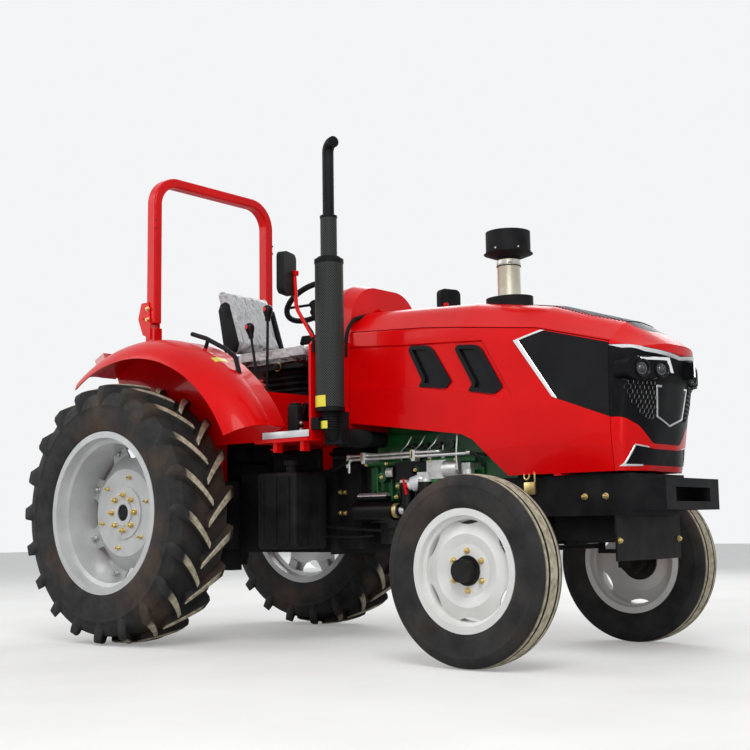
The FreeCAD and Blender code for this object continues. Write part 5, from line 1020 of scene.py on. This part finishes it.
def make_engine(green):
    for name, side in SIDES.items():
        ribs = [cast_block("rib", side, (x, 760), (x + 12, 960), 0) for x in (1420, 1520, 1640, 1760, 1880, 1990)]
        for x, z, radius in CAST_BOSSES:
            ribs.append(drum("boss", flank(side, x, z, 14), flank(side, x, z, -30), radius, 3))
        ribs.append(cast_block("rail", side, (1330, 962), (2080, 984), 8))
        ribs.append(cast_block("sump_rail", side, (1340, 742), (2080, 760), 10))
        only(*ribs)
        bpy.ops.object.join()
        dressed(named("engine_castings_" + name), green, "chassis", "green_paint")
        spots = [(x, z, 14) for x, z, radius in CAST_BOSSES] + [(x, 972, 8) for x in (1360, 1500, 1800, 1960)]
        spots += [(x, 751, 10) for x in (1400, 1520, 1680, 1840, 2000)]
        places = [facing(flank(side, x, z, out), Y * side, x * 0.1) for x, z, out in spots]
        bolts = repeated("casting_bolts_" + name, nut_master("casting_bolt", 15, 9), places)
        dressed(bolts, GOLD, "chassis", "zinc_yellow")
    # Injector lines, the filter with its red wing handle and the stop rod
    lines = []
    for index in range(3):
        x = 1590 + index * 90
        lines.append(pipe("line", [
            at(x, -250, 968), at(x, -262, 1030), at(x + 46, -262, 1062), at(x + 60, -238, 1110),
        ], 3.6, 14, 3))
    lines.append(pipe("riser", [at(2002, -318, 918), at(1999, -318, 1010), at(1996, -300, 1100)], 5, 20, 3))
    only(*lines)
    bpy.ops.object.join()
    dressed(named("fuel_lines"), STEEL, "chassis", "bare_steel")
    tilt = at(1775, -250, 884) - at(1672, -306, 846)
    filter_profile = [
        (0, 0.2), (0, 15), (4, 22), (18, 25), (22, 36), (30, 39), (88, 39), (96, 34), (110, 30), (112, 0.2),
    ]
    can = turned("side_filter", filter_profile, at(1672, -306, 846), tilt.normalized(), 40)
    dressed(can, PALE, "chassis", "bare_steel")
    wing = trace("wing", [at(x, -306, z) for x, z in (
        (1640, 884), (1652, 886), (1660, 848), (1674, 806), (1662, 798), (1650, 832), (1640, 884),
    )])
    bpy.ops.mesh.select_all(action="SELECT")
    bpy.ops.mesh.remove_doubles(threshold=0.02 * MM)
    bpy.ops.mesh.edge_face_add()
    bpy.ops.mesh.extrude_region_move(TRANSFORM_OT_translate={"value": vec(0, -9, 0)})
    tidy_mesh()
    leave()
    dressed(rounded(named("wing_handle"), 3, 2), RED, "chassis", "red_paint")
    hub = turned("wing_hub", [(-4, 0.2), (-4, 11), (14, 12), (30, 17), (36, 17), (38, 0.2)], at(1656, -310, 843), tilt.normalized(), 28)
    dressed(hub, RED, "chassis", "red_paint")
    collar = turned("starter_ring", [(0, 26), (0, 38), (14, 40), (20, 38), (20, 26)], at(1562, -280, 722), X, 40)
    dressed(collar, GOLD, "chassis", "zinc_yellow")
    tail = turned("starter_nose", [(0, 0.2), (0, 24), (34, 22), (48, 14), (50, 0.2)], at(1580, -280, 722), X, 32)
    dressed(tail, STEEL, "chassis", "bare_steel")


def make_hoses():
    runs = [
        ("fuel_hose_front", [at(2072, -320, 1002), at(2110, -318, 1000), at(2132, -305, 975), at(2138, -280, 930)], 9),
        ("fuel_hose_rear", [at(1262, -310, 1018), at(1215, -312, 1014), at(1150, -300, 1020), at(1060, -230, 1050)], 8),
        ("return_hose_rear", [at(1284, -320, 998), at(1225, -324, 966), at(1150, -300, 955), at(1080, -235, 940)], 8),
        ("bonnet_edge_hose", [
            at(1290, -352, 1560), at(1290, -352, 1640), at(1291, -336, 1716), at(1292, -284, 1776),
            at(1292, -190, 1806), at(1292, -80, 1822),
        ], 11),
        ("steer_line", [at(1055, -250, 641), at(1160, -262, 634), at(1347, -262, 622), at(1460, -262, 618)], 9),
        ("brake_line", [at(1050, -258, 590), at(1144, -270, 585), at(1289, -270, 584), at(1400, -262, 590)], 6),
    ]
    for name, points, radius in runs:
        dressed(pipe(name, points, radius, 30, 3), PLASTIC, "chassis", "matt_black", 50)
    ends = []
    for x, y, z in ((1262, -310, 1018), (1284, -320, 998), (2068, -320, 1001)):
        ends.append(facing(at(x, y, z), X))
    dressed(repeated("pipe_nuts", nut_master("pipe_nut", 19, 20), ends), STEEL, "chassis", "bare_steel")
    clamps = []
    for x in (1380, 1720):
        clamps.append(block("clamp", at(x - 12, -334, 984), at(x + 12, -296, 1034), 5))
        clamps.append(drum("clamp_post", at(x, -300, 1008), at(x, -230, 1008), 6))
    only(*clamps)
    bpy.ops.object.join()
    dressed(named("pipe_clamps"), GOLD, "chassis", "zinc_yellow")
    boots = [
        ribbed("boot", at(STACK[0], STACK[1], 1142), at(STACK[0], STACK[1], 1236), 43, 49, 7),
        ribbed("boot", at(STACK[0], -500, 1110), at(STACK[0], -290, 1110), 43, 50, 12),
    ]
    only(*boots)
    bpy.ops.object.join()
    dressed(named("exhaust_boots"), PLASTIC, "chassis", "matt_black")


# Latch of the side panel
def make_latch():
    loop = pipe("latch_loop", [
        at(2394, -300, 892), at(2390, -300, 862), at(2404, -300, 852), at(2420, -300, 862), at(2424, -300, 892),
    ], 4, 8)
    bar = drum("latch_bar", at(2420, -300, 918), at(2484, -300, 938), 6)
    body = block("latch_body", at(2392, -310, 780), at(2456, -292, 842), 6)
    stem = drum("latch_stem", at(2452, -300, 840), at(2452, -300, 926), 5)
    only(loop, bar, body, stem)
    bpy.ops.object.join()
    dressed(named("panel_latch"), GOLD, "chassis", "zinc_yellow")


# Dials on the dash, and the couplings at the tractor's rear
def make_gauges(chrome, gloss, pale):
    bezels, faces, hands = [], [], []
    for y, z in ((-78, 1850), (0, 1866), (78, 1850)):
        place, normal = touch(["dash_fairing"], at(600, y, z), X)
        spot = facing(place, normal)
        bezels.append(spot)
        faces.append(spot)
        hands.append(spot @ Matrix.Rotation(y * 0.012 + 0.5, 4, "Z"))
    ring = turned("bezel", [(-4, 26), (-4, 33), (5, 34), (8, 31), (8, 28), (4, 26)], Vector(), Z, 40)
    dressed(repeated("dial_bezels", ring, bezels), chrome, "chassis", "rim_silver")
    face = turned("face", [(-4, 0.2), (-4, 27), (4, 27), (4, 0.2)], Vector(), Z, 40)
    dressed(repeated("dial_faces", face, faces), gloss, "chassis", "gloss_black")
    hand = block("hand", vec(-1.2, -4, 3.6), vec(1.2, 21, 5), 0.4, 1)
    dressed(repeated("dial_hands", hand, hands), pale, "chassis", "rim_silver")


REAR_FACE_X = -270


def make_rear_couplings(steel, black, red):
    bodies, caps = [], []
    for y in (-142, -98, 98, 142):
        for z in (880, 930):
            spot = at(REAR_FACE_X + 2, y, z)
            bodies.append(facing(spot, -X))
            caps.append(facing(spot + vec(-52, 0, 0), -X))
    profile = [(0, 0.2), (0, 17), (8, 17), (10, 13), (26, 13), (28, 16), (48, 16), (50, 12), (50, 0.2)]
    dressed(repeated("hydraulic_couplings", turned("coupling", profile, Vector(), Z, 24), bodies), steel, "chassis", "bare_steel")
    cap = turned("cap", [(-14, 16.5), (-14, 18.5), (2, 18.5), (4, 16), (4, 0.2), (1, 0.2), (-1, 16.5)], Vector(), Z, 24)
    dressed(repeated("coupling_caps", cap, caps), red, "chassis", "red_paint", 40)
    plate_low = block("coupling_plate", at(REAR_FACE_X - 4, -166, 850), at(REAR_FACE_X + 4, -72, 960), 3)
    plate_high = block("coupling_plate_left", at(REAR_FACE_X - 4, 72, 850), at(REAR_FACE_X + 4, 166, 960), 3)
    only(plate_low, plate_high)
    bpy.ops.object.join()
    dressed(named("coupling_plates"), black, "chassis", "black_paint")


# Platform
def make_shade_blocks(black):
    """Black blocks on the gearbox and the rear axle, painted shade that closes the view under the floor."""
    for name, low, high in (
        ("gearbox_shade_block_front", (1010, -170, 955), (1236, 170, 1086)),
        ("gearbox_shade_block_rear", (560, -180, 955), (930, 180, 1086)),
        ("lift_shade_block", (-130, -150, 1034), (292, 150, 1180)),
    ):
        dressed(block(name, at(*low), at(*high), 18, 3), black, "chassis", "black_paint")


def make_step_parts(red, black, steel):
    for name, side in SIDES.items():
        pieces = []
        for x in (985, 1205):
            outline = [at(x, side * 600, z) for z in (1094, 1060)] + [at(x + 34, side * 600, z) for z in (1060, 1094)]
            pieces.append(rounded(plate("bracket", outline, vec(0, side * 6, 0)), 1.5, 2))
            pieces.append(block("bracket_foot", at(x - 2, side * 600 - 26, 1056), at(x + 36, side * 600 + 6, 1062), 1.5))
        only(*pieces)
        bpy.ops.object.join()
        dressed(named("step_brackets_" + name), red, "chassis", "red_paint")
    boot = block("pedal_boot", at(1080, -600, 1106), at(1156, -540, 1296), 14, 3)
    cap = block("pedal_cap", at(1090, -592, 1290), at(1146, -548, 1306), 6, 2)
    only(boot, cap)
    bpy.ops.object.join()
    dressed(named("pedal_boot_cover"), PLASTIC, "chassis", "matt_black")
    pins = [facing(at(1157, -570, z), X) for z in (1160, 1196)]
    dressed(repeated("pedal_pins", nut_master("pin", 17, 9, 5), pins), steel, "chassis", "bare_steel")
    # Gloss black ellipses on the riser stand for its holes: painted shade inside them.
    for way in (-1, 1):
        hole = turned(f"riser_hole_{'right' if way < 0 else 'left'}", [(0, 0.2), (0, 21), (1.4, 21), (1.4, 0.2)], at(880, way * 233, 1325), X, 32)
        formed(hole, lambda spot: Vector((spot.x, way * 233 * MM + (spot.y - way * 233 * MM) * 1.9, spot.z)))
        dressed(hole, GLOSS, "chassis", "gloss_black")
    treads = []
    for x in range(905, 1265, 22):
        treads.append(block("tread", at(x, -600, 1106), at(x + 9, 600, 1111.5), 1.5, 1))
    only(*treads)
    bpy.ops.object.join()
    dressed(named("floor_mat_ribs"), PLASTIC, "chassis", "matt_black")


def make_small_marks():
    for name, side in SIDES.items():
        edge_a = [at(698, side * y, 1900) for y in (800, 700)]
        edge_b = [at(738, side * y, 1900) for y in (800, 700)]
        label = laid("fender_label_" + name, ["fender_" + name], edge_a, edge_b, -Z, 1.2)
        dressed(label, YELLOW, "chassis", "zinc_yellow")
        # Gloss black discs on the roll bar stand for its holes: painted shade inside them.
        holes = []
        for z in (2544, 2493):
            spot = at(-128, side * 700, z)
            near, normal = touch(["rops_hoop"], spot, Vector((0, -side, 0)))
            holes.append(turned("hole", [(-3, 0.2), (-3, 7), (0.4, 7), (0.4, 0.2)], near, Vector((0, side, 0)), 20))
        only(*holes)
        bpy.ops.object.join()
        dressed(named("roll_bar_holes_" + name), GLOSS, "roll_bar", "gloss_black")


def make_frame_plates(black):
    """Plates that close the frame under the radiator, inside the front axle's steering."""
    for name, side in SIDES.items():
        sheet = block("frame_side_plate_" + name, at(2480, side * 182, 560), at(2884, side * 176, 720), 2, 1)
        dressed(sheet, black, "chassis", "black_paint")


# Mirror arms, red over the bars: foot, knee and head
MIRROR_ARM = [(1299, 621, 1640), (1220, 664, 1800), (1212, 668, 1985)]


def make_mirror_arms():
    for name, side in SIDES.items():
        arm = pipe("mirror_arm_" + name, [at(x, side * y, z) for x, y, z in MIRROR_ARM], 10.5, 24, 5)
        dressed(arm, RED, "chassis", "red_paint", 50)
        lug = block("mirror_lug_" + name, at(1206, side * 668 - 14, 1975), at(1232, side * 668 + 14, 2003), 5, 3)
        dressed(lug, RED, "chassis", "red_paint", 40)


def make_platform_trim(pale, red, black):
    strip = block("step_strip", at(945, -650, 1114), at(1288, -645.4, 1150), 1.5)
    other = block("step_strip_left", at(945, 645.4, 1114), at(1288, 650, 1150), 1.5)
    for piece in (strip, other):
        dressed(piece, pale, "chassis", "rim_silver")


# Seat
# The seat's shaping: voxel size, how far it starts inside its solid, how far cloth may move, the folds' height
PAD_VOXEL = 7 * MM
PAD_START = 9 * MM
PAD_REACH = 16 * MM
CRUMPLE = 5 * MM


def crumpled(pad, size, strength):
    """Fine uneven creases, as in thin film over a cushion."""
    clouds = bpy.data.textures.new(pad.name + "_creases", "CLOUDS")
    clouds.noise_scale = size
    clouds.noise_depth = 3
    only(pad)
    lift = pad.modifiers.new("creases", "DISPLACE")
    lift.texture = clouds
    lift.texture_coords = "LOCAL"
    lift.strength = strength
    lift.mid_level = 0.5
    bpy.ops.object.modifier_apply(modifier=lift.name)


def soft_pad(name, node, cover):
    """A padded cushion blown up inside the space of its solid, with crumpled skin."""
    pad = frame["nodes"][node].copy()
    pad.data = pad.data.copy()
    bpy.context.scene.collection.objects.link(pad)
    pad.name = name
    only(pad)
    edit()
    bpy.ops.mesh.select_all(action="SELECT")
    bpy.ops.mesh.remove_doubles(threshold=0.02 * MM)
    leave()
    voxels = pad.modifiers.new("voxels", "REMESH")
    voxels.mode = "VOXEL"
    voxels.voxel_size = PAD_VOXEL
    bpy.ops.object.modifier_apply(modifier=voxels.name)
    inward = [corner.normal.copy() for corner in pad.data.vertices]
    for corner, normal in zip(pad.data.vertices, inward):
        corner.co -= normal * PAD_START
    begun = [corner.co.copy() for corner in pad.data.vertices]
    cloth = pad.modifiers.new("cloth", "CLOTH")
    cloth.settings.use_pressure = True
    cloth.settings.uniform_pressure_force = 4
    cloth.settings.effector_weights.gravity = 0
    cloth.point_cache.frame_start = 1
    cloth.point_cache.frame_end = 20
    for moment in range(1, 21):
        bpy.context.scene.frame_set(moment)
    only(pad)
    bpy.ops.object.modifier_apply(modifier=cloth.name)
    for corner, start in zip(pad.data.vertices, begun):
        move = corner.co - start
        if move.length > PAD_REACH:
            corner.co = start + move * (PAD_REACH / move.length)
    bpy.context.scene.frame_set(1)
    crumpled(pad, 0.055, CRUMPLE)
    smooth = pad.modifiers.new("smooth", "SUBSURF")
    smooth.levels = 1
    smooth.render_levels = 1
    bpy.ops.object.modifier_apply(modifier=smooth.name)
    dressed(pad, cover, "chassis", "seat_cover", 60)
    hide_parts(node)
    return pad


# The black shell at each side of the backrest, as (x, z) from its foot to its crest
BOLSTER = [(165, 1712), (263, 1708), (283, 1760), (195, 2015), (169, 2030), (129, 2020), (109, 1980)]


def make_seat():
    soft_pad("seat_cushion_cover", "seat_cushion", CUSHION_COVER)
    soft_pad("seat_backrest_cover", "seat_backrest", COVER)
    for name, side in SIDES.items():
        outline = [at(x, side * 184, z) for x, z in BOLSTER]
        shell = rounded(plate("seat_bolster_" + name, outline, vec(0, side * 24, 0)), 9, 3, 30)
        dressed(shell, PLASTIC, "chassis", "matt_black", 50)
    knob = drum("slide_knob", at(640, -206, 1579), at(640, -236, 1579), 22, 4)
    dressed(knob, PLASTIC, "chassis", "matt_black", 40)
    ring = turned("slide_knob_ring", [(0, 22), (0, 27), (6, 27), (6, 22)], at(640, -222, 1579), Y, 32)
    dressed(ring, GOLD, "chassis", "zinc_yellow")


# Columns: x and y of a lever's foot, x and z of its knob, as they stand in the part
LEVERS = [(600, -330, 520, 1810), (690, -360, 700, 1890)]


def make_levers():
    for index, (x, y, top_x, top_z) in enumerate(LEVERS):
        foot, head = at(x, y, 1390), at(top_x, y, top_z)
        grip = (head - foot).normalized()
        profile = [(-62, 8), (-62, 15), (-40, 17), (-14, 26), (6, 30), (22, 26), (31, 12), (32, 0.2), (28, 0.2)]
        knob = turned(f"lever_knob_{index}", profile, head, grip, 28)
        dressed(knob, GLOSS, "chassis", "gloss_black", 50)
        for way in (-1, 1):
            patch = [(-26, 0.2), (-26, 10), (-23, 12), (-21, 0.2)]
            centre = head + grip * 4 * MM + Vector((0, way * 4.5 * MM, 0))
            cap = turned(f"lever_cap_{index}_{'right' if way < 0 else 'left'}", patch, centre, Vector((0, -way, 0)), 20)
            dressed(cap, RED, "chassis", "red_paint", 40)


# Black arm rest that hangs beside the seat, seen past the levers
def make_arm_rest():
    outline = [at(x, 262, z) for x, z in ((352, 1792), (372, 1846), (640, 1838), (660, 1812), (640, 1786))]
    rest = rounded(plate("arm_rest", outline, vec(0, 46, 0)), 10, 3, 30)
    dressed(rest, PLASTIC, "chassis", "matt_black", 50)
    arm = pipe("arm_rest_bar", [at(300, 272, 1700), at(330, 280, 1760), at(380, 285, 1806)], 9, 20)
    dressed(arm, PLASTIC, "chassis", "matt_black")


# Wheel nuts and studs
def ring_places(centre, out, radius, count, first, direction):
    places = []
    for index in range(count):
        angle = first + 2 * math.pi * index / count
        spot = centre + Vector((math.cos(angle) * radius, 0, math.sin(angle) * radius)) * MM
        spot.y = out
        places.append(facing(spot, direction, angle * 1.7))
    return places


def make_wheel_nuts(name, side):
    direction = Vector((0, side, 0))
    rear = middle_of("rear_tyre_" + name)
    face = rear.y + side * 4 * MM
    boss = rear.y + side * 12 * MM
    nuts = repeated("hub_nuts", nut_master("nut", 27, 20, 12), ring_places(rear, boss, 101.5, 8, 0, direction))
    studs = repeated("disc_studs", nut_master("stud", 20, 12, 22), ring_places(rear, face, 205, 6, 0.3, direction))
    only(nuts, studs)
    bpy.ops.object.join()
    dressed(named("rear_hub_nuts_" + name), GOLD, "rear_wheel_" + name, "zinc_yellow")
    bore = [(-4, 0.2), (-4, 45), (1, 45), (2, 43), (2, 38), (-1, 36), (-1, 0.2)]
    hub = Vector((rear.x, boss, rear.z))
    dressed(turned("hub_bore_" + name, bore, hub, direction, 40), GLOSS, "rear_wheel_" + name, "gloss_black", 30)
    clamp_face = rear.y + side * (4 - 75) * MM
    clamps = repeated(
        "clamp", nut_master("clamp_nut", 30, 22, 10), ring_places(rear, clamp_face, 372, 8, math.pi / 8, direction)
    )
    dressed(named("rim_clamp_nuts_" + name), STEEL, "rear_wheel_" + name, "bare_steel")
    front = middle_of("front_tyre_" + name)
    front_face = front.y + side * 34 * MM
    front_nuts = repeated(
        "front_nuts", nut_master("front_nut", 22, 15, 6), ring_places(front, front_face, 89, 6, math.pi / 6, direction)
    )
    dressed(named("front_wheel_nuts_" + name), GOLD, "front_wheel_" + name, "zinc_yellow")


deselect()
make_camera()
make_studio()
make_floor()

RED = finish("red_paint", (0.66, 0.0, 0.001), (0.78, 0.002, 0.003), 3, (0.26, 0.36), 0, 0.16, (420, 0.05, 0.0004), None, 0.12)
BLACK = finish("black_paint", (0.005, 0.005, 0.006), (0.016, 0.016, 0.017), 8, (0.4, 0.55), 0, 0, (300, 0.1, 0.0005), (DUST, 0.7, 0.10), 0.08)
GREEN = finish("green_cast_paint", (0.001, 0.032, 0.006), (0.003, 0.115, 0.020), 9, (0.3, 0.5), 0, 0.2, (140, 0.35, 0.001), None, 0.35)
SILVER = finish("silver_rim_paint", (0.50, 0.51, 0.51), (0.62, 0.63, 0.63), 7, (0.32, 0.45), 0.15, 0.3, (380, 0.08, 0.0004), (DUST, 1.2, 0.3))
WHITE = finish("white_rim_paint", (0.70, 0.70, 0.68), (0.80, 0.80, 0.78), 7, (0.28, 0.4), 0, 0.4, (380, 0.08, 0.0004), (DUST, 0.8, 0.3))
GOLD = finish("yellow_zinc", (0.55, 0.38, 0.12), (0.78, 0.62, 0.30), 40, (0.25, 0.4), 0.9)
STEEL = finish("bright_steel", (0.48, 0.48, 0.47), (0.66, 0.66, 0.65), 30, (0.25, 0.4), 0.9)
CHROME = finish("bright_trim", (0.80, 0.80, 0.81), (0.88, 0.88, 0.89), 20, (0.10, 0.18), 0.9, 0.3)
GLOSS = finish("gloss_black", (0.003, 0.003, 0.004), (0.009, 0.009, 0.010), 5, (0.16, 0.26), 0, 0.08, None, None, 0.12)
YELLOW = finish("yellow_label", (0.78, 0.66, 0.03), (0.88, 0.76, 0.06), 12, (0.35, 0.5), 0, 0.2)
PALE = finish("pale_strip", (0.62, 0.63, 0.64), (0.74, 0.75, 0.76), 18, (0.25, 0.4), 0.2, 0.3)
SHINY = finish("shiny_black", (0.05, 0.05, 0.052), (0.10, 0.10, 0.102), 25, (0.12, 0.25), 0.6, 0.3)
SLATE = finish("slate_slats", (0.035, 0.05, 0.065), (0.08, 0.105, 0.13), 18, (0.4, 0.55), 0, 0, (300, 0.1, 0.0004), None, 0.3)
PLASTIC = finish("matt_black", (0.006, 0.006, 0.007), (0.017, 0.017, 0.018), 10, (0.45, 0.6), 0, 0, (500, 0.25, 0.0006), (DUST, 0.7, 0.10), 0.09)
ZINC = finish("pale_zinc", (0.55, 0.50, 0.38), (0.74, 0.70, 0.58), 14, (0.3, 0.45), 0.8)
SHIELD = perforated("perforated_shield")
COVER = clear_cover("clear_seat_cover")
CUSHION_COVER = toned_within(
    clear_cover("clear_cushion_cover"), at(150, -300, 1560), at(900, 300, 1632), (0.014, 0.014, 0.015)
)
LENS = glow_lens("lamp_glass", (0.016, 0.017, 0.019))
DIM_GLASS = glow_lens("dim_lamp_glass", (0.012, 0.013, 0.015))
TAIL = glow_lens("tail_glass", (0.55, 0.01, 0.01), 0.15)

NODE_FINISH = {
    "red_paint": RED, "black_paint": BLACK, "green_paint": GREEN, "rim_silver": SILVER, "rim_white": WHITE,
    "tyre_rubber": PLASTIC, "gloss_black": GLOSS, "matt_black": PLASTIC, "lamp_lens": LENS, "tail_lens": TAIL,
    "bare_steel": STEEL, "seat_cover": COVER, "zinc_yellow": ZINC,
}
FITTINGS = finish("engine_metals", (0.46, 0.46, 0.45), (0.64, 0.64, 0.63), 30, (0.25, 0.45), 0.85)
# Painted shade: the engine's fittings are made near black within these boxes, where they lie in shade under the bonnet.
for low, high in (
    (at(1280, -360, 650), at(1566, -190, 800)), (at(1480, -290, 865), at(1775, -190, 1100)),
    (at(1590, -400, 560), at(1840, -190, 866)),
):
    toned_within(FITTINGS, low, high, (0.012, 0.012, 0.013))
# Painted shade: the engine's green is made near black within these boxes, where the engine lies in shade under the
# bonnet.
for low, high in (
    (at(1280, -420, 985), at(1850, -150, 1320)), (at(1280, -420, 480), at(2260, -150, 772)),
    (at(1280, -420, 480), at(1352, -150, 1320)),
):
    toned_within(GREEN, low, high, (0.006, 0.007, 0.006))
GRILLES = finish("grille_black", (0.003, 0.003, 0.004), (0.009, 0.009, 0.010), 12, (0.3, 0.45), 0, 0, None, None, 0.08)
OWN_FINISH = {"engine_fittings": FITTINGS, "nose_grilles": GRILLES}
for entry in frame["record"]["subparts"]:
    node = frame["nodes"][entry["node"]]
    node.data.materials.clear()
    node.data.materials.append(OWN_FINISH.get(entry["node"], NODE_FINISH[entry["material_slot"]]))

for name, side in SIDES.items():
    make_rear_tyre(name, side)
    make_front_tyre(name, side)
    make_wheel_nuts(name, side)

make_nose_trim(CHROME, PALE)
make_nose_mesh(SHINY)
make_exhaust(SHIELD, BLACK, YELLOW, CHROME)
make_headlamps()
make_top_louvres()
make_cleaner(ZINC, PLASTIC, STEEL)
make_platform_trim(PALE, RED, BLACK)
make_shade_blocks(BLACK)
make_step_parts(RED, PLASTIC, STEEL)
make_mirror_arms()
make_small_marks()
make_frame_plates(BLACK)
make_bolts()
make_engine(GREEN)
make_hoses()
make_latch()
make_gauges(CHROME, GLOSS, PALE)
make_rear_couplings(STEEL, BLACK, RED)
make_seat()
make_levers()
make_arm_rest()
